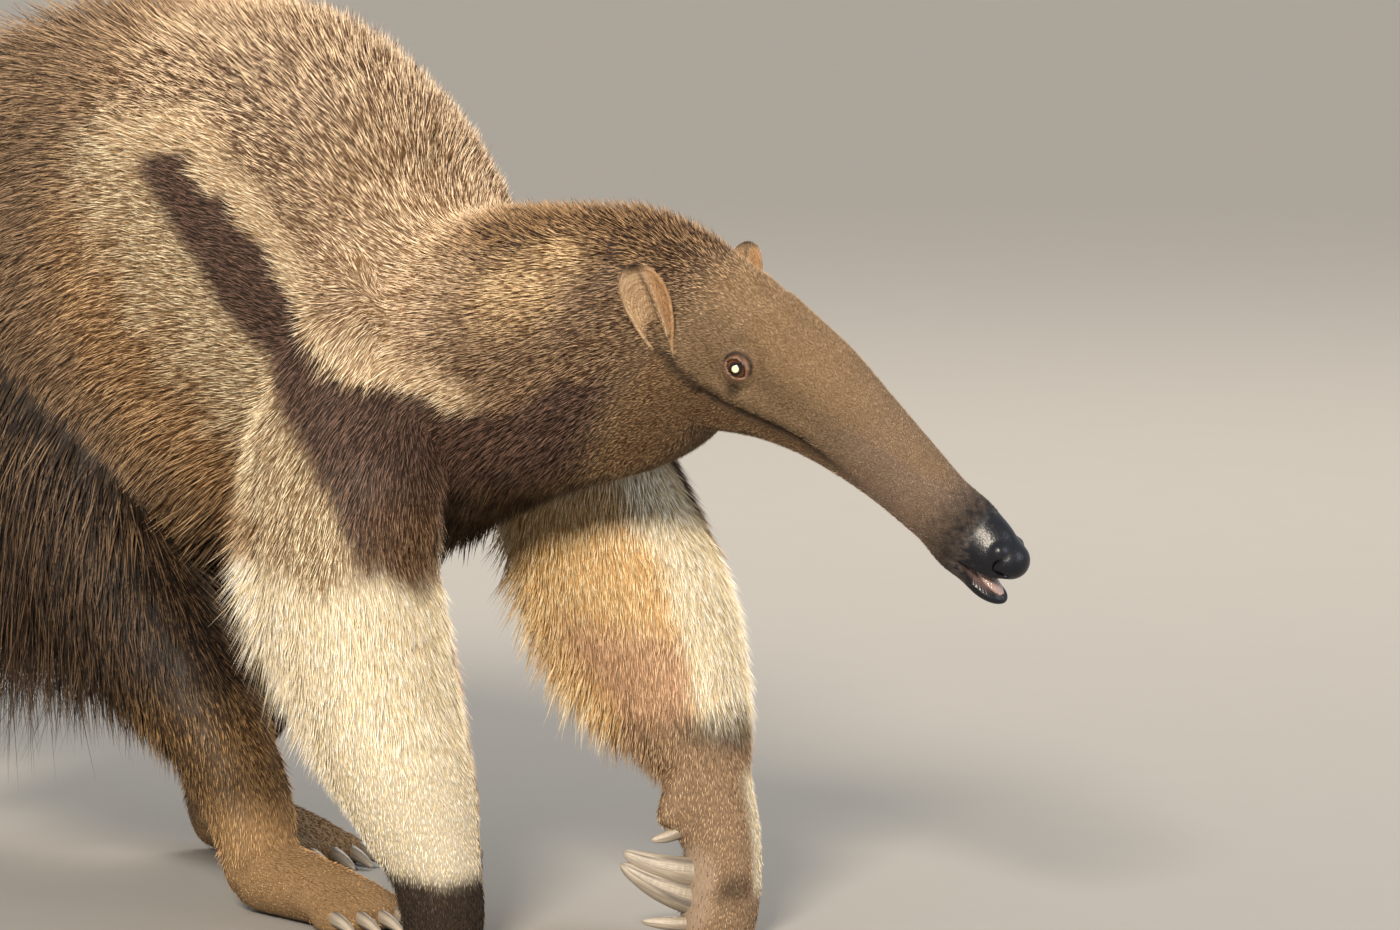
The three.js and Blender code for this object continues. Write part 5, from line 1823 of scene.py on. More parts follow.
class CoatTree:
    """The Geometry Nodes tree that grows hairs on a patch of the skin."""

    INPUTS = {  # the tree's inputs and their socket types
        "Layer": "String", "Patch": "Int", "Density": "Float", "Seed": "Int", "Width": "Float",
        "Longest": "Float", "Segments": "Int", "Floor": "Float", "Right": "Float", "Left": "Float",
        "Material": "Material",
    }
    STORE = "GeometryNodeStoreNamedAttribute"
    SHARED_TURN, OWN_TURN = 0.7, 0.17
    FLATNESS = 0.55
    MAP_SPOT = 0.003
    OVER_FLOOR, PAST_SIDES = 0.5, 12.0
    SPENT = ("lie", "length", "droop", "cover", "bare", "ear", "Root", "Flow", "spot", "under", "over")

    def __init__(self) -> None:
        """Builds the tree."""
        self.tree = bpy.data.node_groups.new("coat hairs", "GeometryNodeTree")
        self.put = partial(node, self.tree)
        face = self.tree.interface
        face.new_socket(name="Geometry", in_out="INPUT", socket_type="NodeSocketGeometry")
        self.ids = {
            name: face.new_socket(name=name, in_out="INPUT", socket_type=f"NodeSocket{kind}").identifier
            for name, kind in self.INPUTS.items()
        }
        face.new_socket(name="Geometry", in_out="OUTPUT", socket_type="NodeSocketGeometry")
        self.build()

    def hair(self, segments: NodeSocket) -> NodeSocket:
        """Shapes one hair of length 1: a three-sided blade that swells and ends in a point.

        Args:
            segments: how many parts its length has.

        Returns:
            The hair.
        """
        put = self.put
        feeds = {"Vertices": 3, "Side Segments": segments, "Fill Segments": 1}
        feeds.update({"Radius Top": 0.0, "Radius Bottom": 0.5, "Depth": 1.0})
        cone = put("GeometryNodeMeshCone", {"fill_type": "NGON"}, feeds, "Mesh")
        place = put(POSITION, out=0)
        split = put(SPLIT, {}, (place,))
        kept = {"Geometry": cone, "Name": "along", "Value": split.outputs[2]}
        marked = put(self.STORE, {"data_type": "FLOAT", "domain": "POINT"}, kept, 0)
        kept = {"Geometry": marked, "Name": "spot", "Value": place}
        marked = put(self.STORE, {"data_type": "FLOAT_VECTOR", "domain": "POINT"}, kept, 0)
        swell = put(MATH, MULTIPLY_ADD, (split.outputs[2], 1.1, 0.8), 0)
        shape = put(JOIN, {}, (swell, swell, 1.0), 0)
        swollen = put(VECTOR, MULTIPLY, (place, shape), 0)
        return put(SET_POSITION, {}, {"Geometry": marked, "Position": swollen}, 0)

    def scatter(self) -> NodeSocket:
        """Turns each hair at random, on top of a turn that neighbours share.

        Returns:
            What is added to its way.
        """
        put = self.put
        place = put(POSITION, out=0)
        noise = put("ShaderNodeTexNoise", {}, {"Vector": place, "Scale": 62.0, "Detail": 1.0}, "Color")
        centred = put(VECTOR, SUBTRACT, (noise, (0.5, 0.5, 0.5)), 0)
        shared = put(VECTOR, SCALE, {0: centred, "Scale": self.SHARED_TURN}, 0)
        feeds = {0: (-self.OWN_TURN,) * 3, 1: (self.OWN_TURN,) * 3, "Seed": SEED}
        own = put(RANDOM, VECTORS, feeds, 0)
        return put(VECTOR, ADD, (shared, own), 0)

    def build(self) -> None:
        """Adds the nodes: points on the patch, hairs on the points, their fall, their map and finish."""
        put = self.put
        given = put("NodeGroupInput").outputs
        layer = put(READ, {"data_type": "INT"}, {"Name": given["Layer"]}, 0)
        same = {"data_type": "INT", "operation": "EQUAL"}
        here = put("FunctionNodeCompare", same, {2: layer, 3: given["Patch"]}, 0)
        density = put(READ, FLOAT, {"Name": "cover"}, 0)
        density = put(MATH, MULTIPLY, (density, given["Density"]), 0)
        feeds = {"Mesh": given[0], "Selection": here, "Density": density, "Seed": given["Seed"]}
        grown = put("GeometryNodeDistributePointsOnFaces", {"distribute_method": "RANDOM"}, feeds)
        lie = put(READ, VECTORS, {"Name": "lie"}, 0)
        way = put(VECTOR, ADD, (lie, self.scatter()), 0)
        turn = put("FunctionNodeAlignRotationToVector", {"axis": "Z"}, {"Vector": way}, 0)
        feeds = {"Rotation": turn, "Vector": grown.outputs["Normal"]}
        turn = put("FunctionNodeAlignRotationToVector", {"axis": "Y", "pivot_axis": "Z"}, feeds, 0)
        longer = put(RANDOM, FLOAT, {2: 0.6, 3: 1.15, "Seed": SEED + 1}, 1)
        wider = put(RANDOM, FLOAT, {2: 0.7, 3: 1.35, "Seed": SEED + 2}, 1)
        shade = put(RANDOM, FLOAT, {2: 0.0, 3: 1.0, "Seed": SEED + 3}, 1)
        length = put(READ, FLOAT, {"Name": "length"}, 0)
        length = put(MATH, LOWER, (length, given["Longest"]), 0)
        length = put(MATH, MULTIPLY, (length, longer), 0)
        wide = put(MATH, MULTIPLY, (given["Width"], wider), 0)
        thick = put(MATH, MULTIPLY, (wide, self.FLATNESS), 0)
        size = put(JOIN, {}, (wide, thick, length), 0)
        feeds = {"Points": grown.outputs[0], "Instance": self.hair(given["Segments"])}
        feeds.update({"Rotation": turn, "Scale": size})
        hairs = put("GeometryNodeInstanceOnPoints", {}, feeds, 0)
        kept = {"Geometry": hairs, "Name": "shade", "Value": shade}
        hairs = put(self.STORE, {"data_type": "FLOAT", "domain": "INSTANCE"}, kept, 0)
        solid = put("GeometryNodeRealizeInstances", {}, (hairs,), 0)
        droop = put(READ, FLOAT, {"Name": "droop"}, 0)
        along = put(READ, FLOAT, {"Name": "along"}, 0)
        bend = put(MATH, {"operation": "POWER"}, (along, 2.0), 0)
        fall = put(MATH, MULTIPLY, (bend, droop), 0)
        place = put(SPLIT, {}, (put(POSITION, out=0),))
        high = put(MATH, SUBTRACT, (place.outputs[2], fall), 0)
        high = put(MATH, HIGHER, (high, given["Floor"]), 0)
        aside = put(MATH, HIGHER, (place.outputs[1], given["Right"]), 0)
        aside = put(MATH, LOWER, (aside, given["Left"]), 0)
        held = put(JOIN, {}, (place.outputs[0], aside, high), 0)
        result = put(SET_POSITION, {}, {"Geometry": solid, "Position": held}, 0)
        spot = put(SPLIT, {}, (put(READ, VECTORS, {"Name": "spot"}, 0),))
        flat = put(JOIN, {}, (spot.outputs[0], spot.outputs[2]), 0)
        small = put(VECTOR, SCALE, {0: flat, "Scale": self.MAP_SPOT}, 0)
        root = put(READ, VECTORS, {"Name": "Root"}, 0)
        baked = put(VECTOR, ADD, (root, small), 0)
        kept = {"Geometry": result, "Name": "OFBake", "Value": baked}
        result = put(self.STORE, {"data_type": "FLOAT2", "domain": "CORNER"}, kept, 0)
        for name in self.SPENT:
            result = put("GeometryNodeRemoveAttribute", {}, {"Geometry": result, "Name": name}, 0)
        feeds = {"Geometry": result, "Material": given["Material"]}
        put("NodeGroupOutput", {}, (put("GeometryNodeSetMaterial", {}, feeds, 0),))

    def grow(self, skin: Object, patch: Patch, area: float, material: Material) -> Object:
        """Grows one piece of the coat.

        Args:
            skin: the skin with its attributes.
            patch: which piece.
            area: the covered area of the patch in square metres.
            material: the hair's finish.

        Returns:
            The piece as a plain mesh.
        """
        thing = linked(patch.name, skin.data)
        live = thing.modifiers.new("coat", "NODES")
        live.node_group = self.tree
        values = {
            "Layer": patch.layer,
            "Patch": patch.number,
            "Density": patch.hairs / max(area, 1e-6),
            "Seed": SEED + patch.number,
            "Width": patch.width * MM,
            "Longest": patch.longest * MM,
            "Segments": patch.segments,
            "Floor": float(CAD_BOX[0][2]) + self.OVER_FLOOR * MM,
            "Right": float(CAD_BOX[0][1]) - self.PAST_SIDES * MM,
            "Left": float(CAD_BOX[1][1]) + self.PAST_SIDES * MM,
            "Material": material,
        }
        for name, value in values.items():
            live[self.ids[name]] = value
        plain_mesh(thing)
        return thing


PATCHES = (
    Patch("coat_head", "under", 1, 47000, 0.48, longest=8),
    Patch("coat_neck", "under", 2, 39000, 0.9, longest=16),
    Patch("coat_torso_right", "under", 3, 43000, 0.96, longest=21),
    Patch("coat_torso_left", "under", 4, 43000, 0.96, longest=21),
    Patch("coat_foreleg_right", "under", 5, 24000, 1.0, longest=18),
    Patch("coat_foreleg_left", "under", 6, 24000, 1.0, longest=18),
    Patch("coat_hind_leg_right", "under", 7, 15000, 1.2, longest=24, slot="dark_coat"),
    Patch("coat_hind_leg_left", "under", 8, 15000, 1.2, longest=24, slot="dark_coat"),
    Patch("coat_crest", "over", 1, 10800, 1.1, segments=2, longest=95, slot="dark_coat"),
    Patch("coat_skirt_right", "over", 2, 7000, 1.7, segments=2, longest=200, slot="dark_coat"),
    Patch("coat_skirt_left", "over", 3, 7000, 1.7, segments=2, longest=200, slot="dark_coat"),
    Patch("coat_fringe_right", "over", 4, 3500, 1.1, segments=2, longest=60),
    Patch("coat_fringe_left", "over", 5, 3500, 1.1, segments=2, longest=60),
    Patch("coat_tail_upper", "over", 6, 5700, 2.1, segments=3, longest=170, slot="dark_coat"),
    Patch("coat_tail_lower", "over", 7, 5700, 2.1, segments=3, longest=170, slot="dark_coat"),
)


@dataclass
class Coat:
    """The whole coat, grown piece by piece on the skin."""

    skin: Object
    ground: Terrain

    def mark(self) -> None:
        """Writes on every face which pieces grow there, as the layers and numbers of `PATCHES`."""
        mesh, ground = self.skin.data, self.ground
        corners = values_of(mesh.loops, "vertex_index")
        vert = corners[values_of(mesh.polygons, "loop_start")]
        owner, place = ground.owner[vert], ground.places[vert]
        x, y, z = place.T
        along, body = ground.head[vert, 0], owner == Region.BODY
        angle = ground.angle[owner, vert]
        right = y < 0
        under = np.zeros(len(vert), np.int32)
        under[body] = np.where(right[body], 3, 4)
        under[body & (x > -62)] = 2
        under[(body & (along > 14)) | (owner >= Region.EAR_RIGHT)] = 1
        for region, number in zip((*ARMS, *LEGS), (5, 6, 7, 8)):
            under[owner == region] = number
        under[owner == Region.FOOT_RIGHT], under[owner == Region.FOOT_LEFT] = 7, 8
        over = np.zeros(len(vert), np.int32)
        high = np.sin(angle)
        over[body & (high > 0.66) & (along < 4)] = 1
        low = body & (x < -100) & (high < np.interp(x, [-480, -260], [-0.15, -0.65]))
        low |= body & (x < -560) & (high <= 0.66)
        over[low] = np.where(right[low], 2, 3)
        over[owner == Region.LEG_RIGHT], over[owner == Region.LEG_LEFT] = 2, 3
        over[((over == 2) | (over == 3)) & (z < 120)] = 0
        for region, number in zip(ARMS, (4, 5)):
            over[(owner == region) & (high < -0.3) & (z > 62)] = number
        tail = owner == Region.TAIL
        over[tail] = np.where(high[tail] > 0, 6, 7)
        for name, values in (("under", under), ("over", over)):
            mesh.attributes.new(name, "INT", "FACE").data.foreach_set("value", values)
        cover = values_of(mesh.attributes["cover"].data, "value", np.float32)
        self.layers = {"under": under, "over": over}
        self.covered = values_of(mesh.polygons, "area", np.float32) * cover[vert]

    def grow(self, material: Material) -> list[Object]:
        """Grows all pieces.

        Args:
            material: the finish.

        Returns:
            The pieces.
        """
        self.mark()
        tree = CoatTree()
        made = []
        for patch in PATCHES:
            area = float(self.covered[self.layers[patch.layer] == patch.number].sum())
            piece = tree.grow(self.skin, patch, area, material)
            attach(piece, "root")
            report(piece)
            made.append(piece)
        return made


def report(piece: Object) -> None:
    """Logs a piece with its number of triangles."""
    LOG.info("%s: %d triangles", piece.name, (values_of(piece.data.polygons, "loop_total") - 2).sum())


# Finishes


def blank(name: str) -> tuple[Material, Put]:
    """Starts a material with an empty tree.

    Args:
        name: what the material is and how it was made.

    Returns:
        The material, and `node` bound to its tree.
    """
    material = bpy.data.materials.new(name)
    material.use_nodes = True
    material.node_tree.nodes.clear()
    return material, partial(node, material.node_tree)


def paint_of(code: str, share: float = 1.0) -> tuple[float, float, float, float]:
    """A linear colour with its alpha, darkened to a share of itself."""
    return (*(linear(code) * share), 1.0)


ATTRIBUTE, NOISE, RANGE = "ShaderNodeAttribute", "ShaderNodeTexNoise", "ShaderNodeMapRange"
MIX, BLEND, DIM = "ShaderNodeMix", {"data_type": "RGBA"}, {"data_type": "RGBA", "blend_type": "MULTIPLY"}
SHADER, SURFACE = "ShaderNodeBsdfPrincipled", "ShaderNodeOutputMaterial"


@dataclass(frozen=True)
class Hair:
    """Coarse banded outer hair, brown at the root with pale flecks towards the tip: dry, salt and pepper."""

    fleck: float = 3.4
    patch: float = 22.0
    root: float = 0.28

    def material(self) -> Material:
        """Mixes the coat's two tones hair by hair and band by band, and darkens the roots.

        Returns:
            The material.
        """
        material, put = blank("coarse banded outer hair")
        shade = put(ATTRIBUTE, {"attribute_name": "shade"}, {}, "Fac")
        along = put(ATTRIBUTE, {"attribute_name": "along"}, {}, "Fac")
        dark = put(ATTRIBUTE, {"attribute_name": "dark_tone"}, {}, "Color")
        light = put(ATTRIBUTE, {"attribute_name": "light_tone"}, {}, "Color")
        place = put("ShaderNodeTexCoord", out="Object")
        flecks = put(NOISE, {}, {"Vector": place, "Scale": 1 / (self.fleck * MM), "Detail": 1.0}, "Fac")
        patchy = put(NOISE, {}, {"Vector": place, "Scale": 1 / (self.patch * MM), "Detail": 1.0}, "Fac")
        which = put(MATH, MULTIPLY_ADD, (flecks, 1.5, -0.75), 0)
        which = put(MATH, ADD, (which, shade), 0)
        which = put(MATH, MULTIPLY_ADD, (patchy, 0.5, which), 0)
        pale = put(RANGE, {}, (which, 0.48, 1.0), 0)
        band = put(RANGE, {}, (along, 0.3, 0.62), 0)
        part = put(MATH, MULTIPLY, (pale, band), 0)
        colour = put(MIX, BLEND, {0: part, 6: dark, 7: light}, 2)
        depth = put(RANGE, {}, (along, 0.0, 0.5, self.root, 1.0), 0)
        grey = put("ShaderNodeCombineColor", {}, (depth, depth, depth), 0)
        colour = put(MIX, DIM, {0: 1.0, 6: colour, 7: grey}, 2)
        feeds = {"Base Color": colour, "Roughness": 0.58, "Specular IOR Level": 0.3}
        put(SURFACE, {}, (put(SHADER, {}, feeds, 0),))
        return material


@dataclass(frozen=True)
class Hide:
    """Under-fur and bare skin in one: felted short hair, turning to moist pebbled skin at nose and lips."""

    hair_width: float = 0.7
    hair_length: float = 8.0
    pebble: float = 1.5
    relief: float = 0.9

    def material(self) -> Material:
        """Draws combed short fur where the coat covers and pebbled skin where it is bare.

        Returns:
            The material.
        """
        material, put = blank("under-fur and bare skin")
        bare = put(ATTRIBUTE, {"attribute_name": "bare"}, {}, "Fac")
        dark = put(ATTRIBUTE, {"attribute_name": "dark_tone"}, {}, "Color")
        light = put(ATTRIBUTE, {"attribute_name": "light_tone"}, {}, "Color")
        flow = put("ShaderNodeUVMap", {"uv_map": "Flow"}, {}, 0)
        shape = (1.0, self.hair_width / self.hair_length, 1.0)
        combed = put("ShaderNodeMapping", {}, {"Vector": flow, "Scale": shape}, 0)
        feeds = {"Vector": combed, "Scale": 1 / (self.hair_width * MM), "Detail": 3.0}
        strands = put(NOISE, {}, feeds, "Fac")
        part = put(RANGE, {}, (strands, 0.34, 0.66, 0.0, 0.75), 0)
        colour = put(MIX, BLEND, {0: part, 6: dark, 7: light}, 2)
        shadow = put(MIX, BLEND, {0: bare, 6: (0.52, 0.52, 0.52, 1.0), 7: (1.0, 1.0, 1.0, 1.0)}, 2)
        colour = put(MIX, DIM, {0: 1.0, 6: colour, 7: shadow}, 2)
        place = put("ShaderNodeTexCoord", out="Object")
        feeds = {"Vector": place, "Scale": 1 / (self.pebble * MM)}
        cells = put("ShaderNodeTexVoronoi", {"feature": "F1"}, feeds, "Distance")
        furry = put(MATH, SUBTRACT, (1.0, bare), 0)
        height = put(MATH, MULTIPLY, (strands, furry), 0)
        raised = put("ShaderNodeBump", {}, {"Height": height, "Distance": self.relief * MM}, 0)
        height = put(MATH, MULTIPLY, (cells, bare), 0)
        feeds = {"Height": height, "Distance": -0.1 * MM, "Normal": raised}
        pebbled = put("ShaderNodeBump", {}, feeds, 0)
        rough = put(RANGE, {}, (bare, 0.0, 1.0, 0.85, 0.33), 0)
        feeds = {"Base Color": colour, "Roughness": rough, "Normal": pebbled, "Specular IOR Level": 0.34}
        put(SURFACE, {}, (put(SHADER, {}, feeds, 0),))
        return material


@dataclass(frozen=True)
class EyeBall:
    """A dark brown eye under a clear wet layer, its pupil painted pale gold as a glint of light thrown back.
    """

    # painted glint: the colour of the middle of the pupil
    painted_glint: str = "#fff0b8"
    pupil: str = "#0b0705"
    iris: str = "#4a2b14"
    rim: str = "#120b08"

    def material(self) -> Material:
        """Colours the ball by how far each place is from the middle of the iris, with a painted pale gold
        glint in the pupil.

        Returns:
            The material.
        """
        material, put = blank("clear wet eye")
        away = put(ATTRIBUTE, {"attribute_name": "along"}, {}, "Fac")
        # painted glint: the middle of the pupil is coloured pale gold
        glint_mask = put(RANGE, {}, (away, 0.1, 0.15), 0)
        inner = put(RANGE, {}, (away, 0.25, 0.3), 0)
        outer = put(RANGE, {}, (away, 0.4, 0.5), 0)
        colour = put(MIX, BLEND, {0: glint_mask, 6: paint_of(self.painted_glint), 7: paint_of(self.pupil)}, 2)
        colour = put(MIX, BLEND, {0: inner, 6: colour, 7: paint_of(self.iris)}, 2)
        colour = put(MIX, BLEND, {0: outer, 6: colour, 7: paint_of(self.rim)}, 2)
        feeds = {"Base Color": colour, "Roughness": 0.08, "IOR": 1.38}
        feeds.update({"Coat Weight": 0.5, "Coat Roughness": 0.04})
        put(SURFACE, {}, (put(SHADER, {}, feeds, 0),))
        return material


@dataclass(frozen=True)
class Horn:
    """Claw horn grown in layers: fine lengthwise grooves, dark bands and a paler worn tip."""

    root: str = "#8b8071"
    tip: str = "#b3a899"
    band: str = "#4f4a49"
    groove: float = 0.9
    band_width: float = 5.0

    def material(self) -> Material:
        """Streaks the horn along its length with bands and grooves.

        Returns:
            The material.
        """
        material, put = blank("layered claw horn")
        along = put(ATTRIBUTE, {"attribute_name": "along"}, {}, "Fac")
        flow = put("ShaderNodeUVMap", {"uv_map": "Flow"}, {}, 0)
        fine = put("ShaderNodeMapping", {}, {"Vector": flow, "Scale": (1.0, 0.07, 1.0)}, 0)
        lines = put(NOISE, {}, {"Vector": fine, "Scale": 1 / (self.groove * MM), "Detail": 3.0}, "Fac")
        wide = put(NOISE, {}, {"Vector": fine, "Scale": 1 / (self.band_width * MM), "Detail": 1.0}, "Fac")
        across = put("ShaderNodeMapping", {}, {"Vector": flow, "Scale": (0.05, 1.0, 1.0)}, 0)
        rings = put(NOISE, {}, {"Vector": across, "Scale": 1 / (2.6 * MM), "Detail": 1.0}, "Fac")
        worn = put(RANGE, {}, (along, 0.3, 0.95), 0)
        colour = put(MIX, BLEND, {0: worn, 6: paint_of(self.root), 7: paint_of(self.tip)}, 2)
        banded = put(RANGE, {}, (wide, 0.44, 0.62, 0.0, 0.75), 0)
        colour = put(MIX, BLEND, {0: banded, 6: colour, 7: paint_of(self.band)}, 2)
        dim = put(RANGE, {}, (lines, 0.3, 0.7, 0.72, 1.15), 0)
        grey = put("ShaderNodeCombineColor", {}, (dim, dim, dim), 0)
        colour = put(MIX, DIM, {0: 1.0, 6: colour, 7: grey}, 2)
        grooved = put("ShaderNodeBump", {}, {"Height": lines, "Distance": 0.35 * MM}, 0)
        feeds = {"Height": rings, "Distance": 0.25 * MM, "Normal": grooved}
        relief = put("ShaderNodeBump", {}, feeds, 0)
        rough = put(RANGE, {}, (lines, 0.3, 0.7, 0.5, 0.34), 0)
        feeds = {"Base Color": colour, "Roughness": rough, "Normal": relief}
        put(SURFACE, {}, (put(SHADER, {}, feeds, 0),))
        return material


@dataclass(frozen=True)
class WetTongue:
    """Wet pale pink muscle with fine papillae: it glistens in small points."""

    pink: str = "#b09a94"
    deep: str = "#80655f"

    def material(self) -> Material:
        """Mottles the pink and raises papillae.

        Returns:
            The material.
        """
        material, put = blank("wet tongue")
        place = put("ShaderNodeTexCoord", out="Object")
        patchy = put(NOISE, {}, {"Vector": place, "Scale": 1 / (2.5 * MM)}, "Fac")
        papillae = put(NOISE, {}, {"Vector": place, "Scale": 1 / (1.2 * MM)}, "Fac")
        colour = put(MIX, BLEND, {0: patchy, 6: paint_of(self.deep), 7: paint_of(self.pink)}, 2)
        raised = put("ShaderNodeBump", {}, {"Height": papillae, "Distance": 0.7 * MM}, 0)
        feeds = {"Base Color": colour, "Normal": raised, "Roughness": 0.14, "Specular IOR Level": 0.8}
        put(SURFACE, {}, (put(SHADER, {}, feeds, 0),))
        return material


@dataclass(frozen=True)
class PalePaper:
    """Matt paper of a studio floor: pale, with the faintest mottling."""

    colour: str = "#97948f"

    def material(self) -> Material:
        """Mottles a matt pale surface.

        Returns:
            The material.
        """
        material, put = blank("matt studio paper")
        place = put("ShaderNodeTexCoord", out="Object")
        mottle = put(NOISE, {}, {"Vector": place, "Scale": 1 / (60 * MM)}, "Fac")
        pale = put(MIX, BLEND, {0: mottle, 6: paint_of(self.colour, 0.97), 7: paint_of(self.colour)}, 2)
        put(SURFACE, {}, (put(SHADER, {}, {"Base Color": pale, "Roughness": 0.9}, 0),))
        return material


# Small pieces


@dataclass
class Details:
    """Eyes, tongue, claws and toenails."""

    anatomy: Anatomy
    stance: Stance

    def eyes(self, material: Material) -> None:
        """Makes the two eyeballs.

        Args:
            material: the finish.
        """
        eye = self.anatomy.eye
        for side, name in SIDES.items():
            look = eye.look(side)
            across = unit(np.cross(look, UP))
            high = np.cross(across, look)
            polar = np.linspace(0.03, math.pi - 0.03, 40)
            around = np.linspace(0, 2 * math.pi, 48, endpoint=False)
            swell = 1 + 0.05 * np.exp(-((polar / 0.5) ** 2))
            ring = (look * np.cos(polar)[:, None])[:, None] + np.sin(polar)[:, None, None] * (
                across * np.cos(around)[:, None] + high * np.sin(around)[:, None]
            )[None]
            places = on_head(eye.on_side(side) + ring * (eye.radius * swell)[:, None, None])
            piece = mesh_object(f"eyeball_{name}", tube(places), self.stance)
            away = np.append(np.repeat(polar, len(around)), [0, math.pi])
            write(piece.data, "along", away / math.pi * 1.6)
            self.finish(piece, material, f"eye_{name}")

    def claws(self, material: Material) -> None:
        """Makes the hands' claws and the feet's nails.

        Args:
            material: the finish.
        """
        for side, name in SIDES.items():
            for which, claw in self.anatomy.hands[side].claws().items():
                self.horn(claw, f"horn_claw_{which}_{name}", material, f"claw_{which}_{name}")
            foot = self.anatomy.feet[side]
            for number, toe in enumerate(foot.toes, 1):
                node_name = f"toenail_{number}_{name}"
                self.horn(foot.nail(*toe), f"horn_{node_name}", material, node_name)

    def horn(self, claw: Claw, name: str, material: Material, replaced: str) -> None:
        """Makes one claw, with a map along it in metres.

        Args:
            claw: its form.
            name: its name.
            material: the finish.
            replaced: the node that it stands for.
        """
        rings, sides = 26, 18
        piece = mesh_object(name, claw.shape(rings, sides), self.stance)
        mesh = piece.data
        share = np.append(np.repeat(np.linspace(0, 1, rings), sides), [0, 1])
        write(mesh, "along", share)
        turn = np.append(np.tile(np.arange(sides) / sides, rings), [0, 0])
        corners = values_of(mesh.loops, "vertex_index")
        first = np.repeat(values_of(mesh.polygons, "loop_start"), values_of(mesh.polygons, "loop_total"))
        start = turn[corners[first]]
        near = start + (turn[corners] - start + 0.5) % 1 - 0.5
        size = np.linalg.norm(np.array(claw.tip) - np.array(claw.root))
        flow = np.stack([near * 2 * math.pi * claw.wide, share[corners] * size], axis=1) * MM
        write_map(mesh, "Flow", flow)
        self.finish(piece, material, replaced)

    def tongue(self, material: Material) -> None:
        """Makes the tip of the narrow tongue, lying in the mouth.

        Args:
            material: the finish.
        """
        rows = [(240, -19.0, 4.5, 1.6), (247, -21.4, 7.4, 3.2), (255, -23.4, 8.2, 3.6)]
        rows += [(262, -25.2, 6.8, 2.8), (267, -26.4, 3.0, 1.2)]
        stations = [(*on_head((along, 0, up)), side, half, half) for along, up, side, half in rows]
        piece = mesh_object("wet_tongue", Loft(stations).mesh(30, 18), self.stance)
        self.finish(piece, material, "tongue")

    def finish(self, piece: Object, material: Material, replaced: str) -> None:
        """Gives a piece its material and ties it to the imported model.

        Args:
            piece: the piece.
            material: the finish.
            replaced: the node that it stands for.
        """
        piece.data.materials.append(material)
        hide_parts(replaced)
        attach(piece, "root")
        report(piece)


# Studio


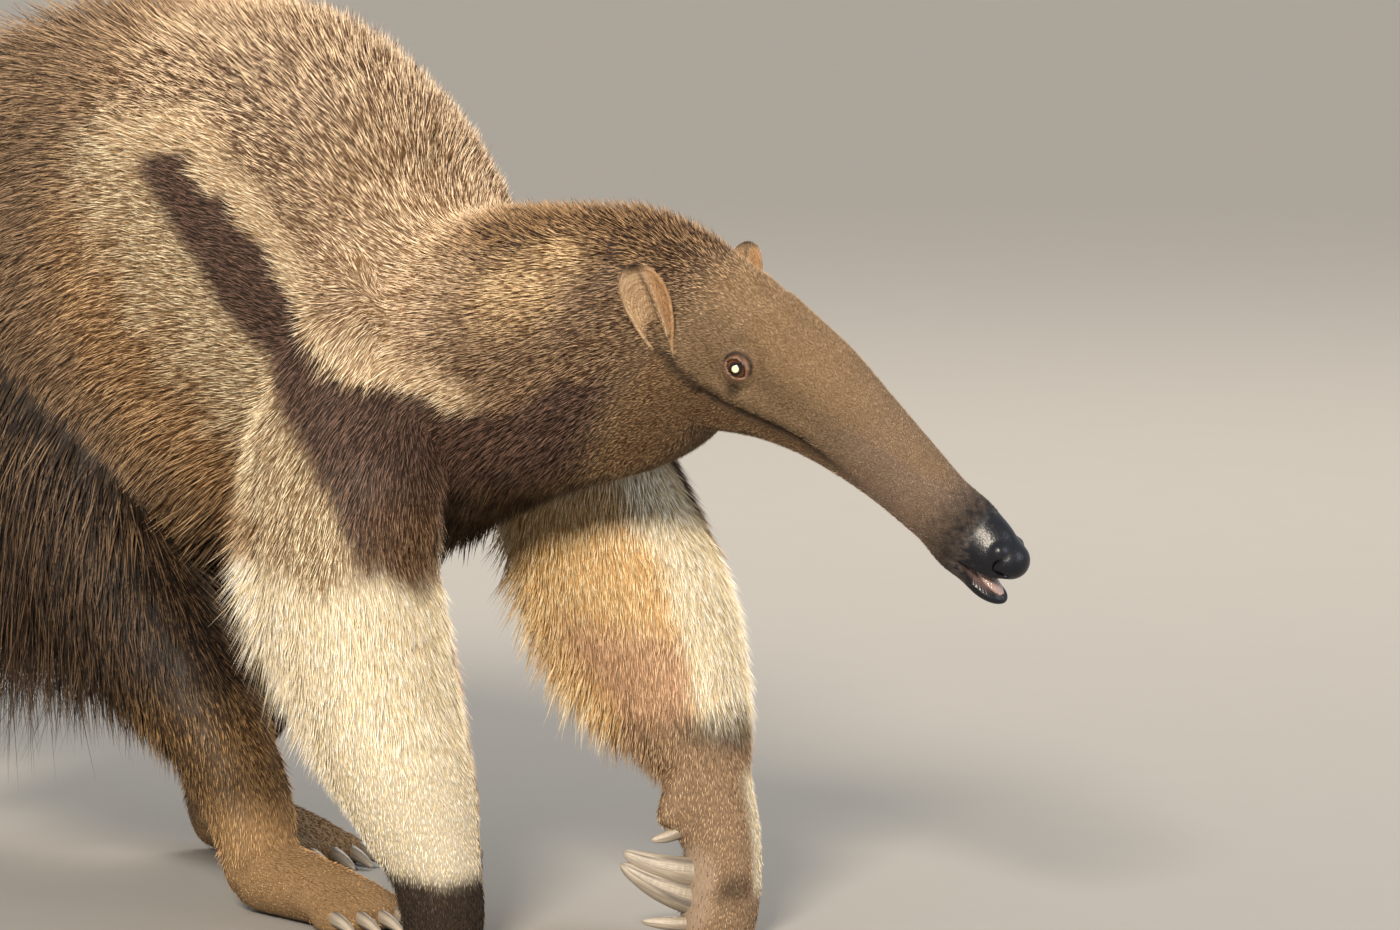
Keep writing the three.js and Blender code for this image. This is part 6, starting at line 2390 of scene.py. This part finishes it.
@dataclass
class Studio:
    """Floor, camera and lights."""

    stance: Stance
    turn: float = math.radians(53)
    rise: float = math.radians(5.5)
    distance: float = 8000.0
    lens: float = 318.86
    target: tuple[float, float, float] = (110.0, 50.0, 313.0)

    def __post_init__(self) -> None:
        """Works out the level directions to the camera's right and towards it."""
        self.right = np.array([math.cos(self.turn), math.sin(self.turn), 0.0])
        self.near = np.array([math.sin(self.turn), -math.cos(self.turn), 0.0])

    def floor(self, material: Material) -> None:
        """Lays a plain pale floor that reaches past the view on every side.

        Args:
            material: the finish.
        """
        reach = 30000.0
        rows = np.array([(-reach, -reach, 0), (reach, -reach, 0), (reach, reach, 0), (-reach, reach, 0)])
        mesh = bpy.data.meshes.new("paper_floor")
        mesh.from_pydata(self.stance.placed(rows).tolist(), [], [(0, 1, 2, 3)])
        mesh.materials.append(material)
        linked("paper_floor", mesh)

    def camera(self) -> None:
        """The camera at the photograph's viewing angle."""
        flat = math.cos(self.rise)
        ahead = np.array([-math.sin(self.turn) * flat, math.cos(self.turn) * flat, -math.sin(self.rise)])
        above = np.cross(self.right, ahead)
        data = bpy.data.cameras.new("camera")
        data.lens, data.sensor_width = self.lens, 36.0
        data.clip_end = 60.0
        camera = linked("camera", data)
        at = self.stance.placed(np.array(self.target) - ahead * self.distance)
        turned = Matrix(np.array([self.right, above, -ahead]).T.tolist()).to_4x4()
        camera.matrix_world = Matrix.Translation(Vector(at)) @ turned
        bpy.context.scene.camera = camera

    def lamp(self, name: str, place: tuple, size: float, power: float, colour: str) -> None:
        """A soft square lamp that shines on the animal's middle.

        Args:
            name: what it is for.
            place: where it stands from the middle: right, towards the camera and up, in metres.
            size: its side in metres.
            power: its power in watts.
            colour: its colour.
        """
        data = bpy.data.lights.new(name, "AREA")
        data.size, data.energy = size, power
        data.color = linear(colour).tolist()
        lamp = linked(name, data)
        middle = self.stance.placed(np.array([-250.0, 0.0, 250.0]))
        at = middle + self.right * place[0] + self.near * place[1] + UP * place[2]
        lamp.location = Vector(at)
        lamp.rotation_euler = (Vector(middle) - Vector(at)).to_track_quat("-Z", "Y").to_euler()

    def light(self) -> None:
        """A soft key from beside the camera, a weak fill, a rim lamp and a pale surround."""
        data = bpy.data.lights.new("key", "SUN")
        data.energy, data.angle = 5.2, math.radians(12)
        data.color = linear("#fff1dd").tolist()
        way = self.right * -0.16 + self.near * 0.9 + UP * 0.44
        linked("key", data).rotation_euler = Vector(-way).to_track_quat("-Z", "Y").to_euler()
        self.lamp("fill", (3.4, 1.6, 1.4), 2.0, 45, "#eef3ff")
        self.lamp("rim", (0.6, -3.4, 3.0), 2.0, 110, "#fff6e8")
        world = bpy.data.worlds.new("studio")
        world.use_nodes = True
        shell = world.node_tree.nodes["Background"]
        shell.inputs[0].default_value = (*linear("#f2f4f7"), 1.0)
        shell.inputs[1].default_value = 0.58
        bpy.context.scene.world = world
        bpy.context.scene.view_settings.view_transform = "Standard"


SKIN_NODES = ("torso", "neck", "head", "lower_jaw", "tail_root", "tail_middle", "tail_end") + tuple(
    f"{part}_{side}"
    for part in ("ear", "upper_arm", "forearm", "hand", "thigh", "shank", "foot")
    for side in SIDES.values()
)


def main() -> None:
    """Builds the animal piece by piece and sets the studio round it."""
    logging.basicConfig(level=logging.INFO, format="%(name)s: %(message)s")
    anatomy = Anatomy()
    stance = Stance.found(anatomy.eye)
    studio = Studio(stance)
    studio.camera()
    studio.light()
    studio.floor(PalePaper().material())
    skin = Skin(anatomy, stance).wrapped()
    ground = Pelt(anatomy, stance).dress(skin)
    Coat(skin, ground).grow(Hair().material())
    skin.data.materials.append(Hide().material())
    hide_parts(*SKIN_NODES)
    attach(skin, "root")
    report(skin)
    details = Details(anatomy, stance)
    details.eyes(EyeBall().material())
    details.claws(Horn().material())
    details.tongue(WetTongue().material())


if __name__ == "__main__":
    main()
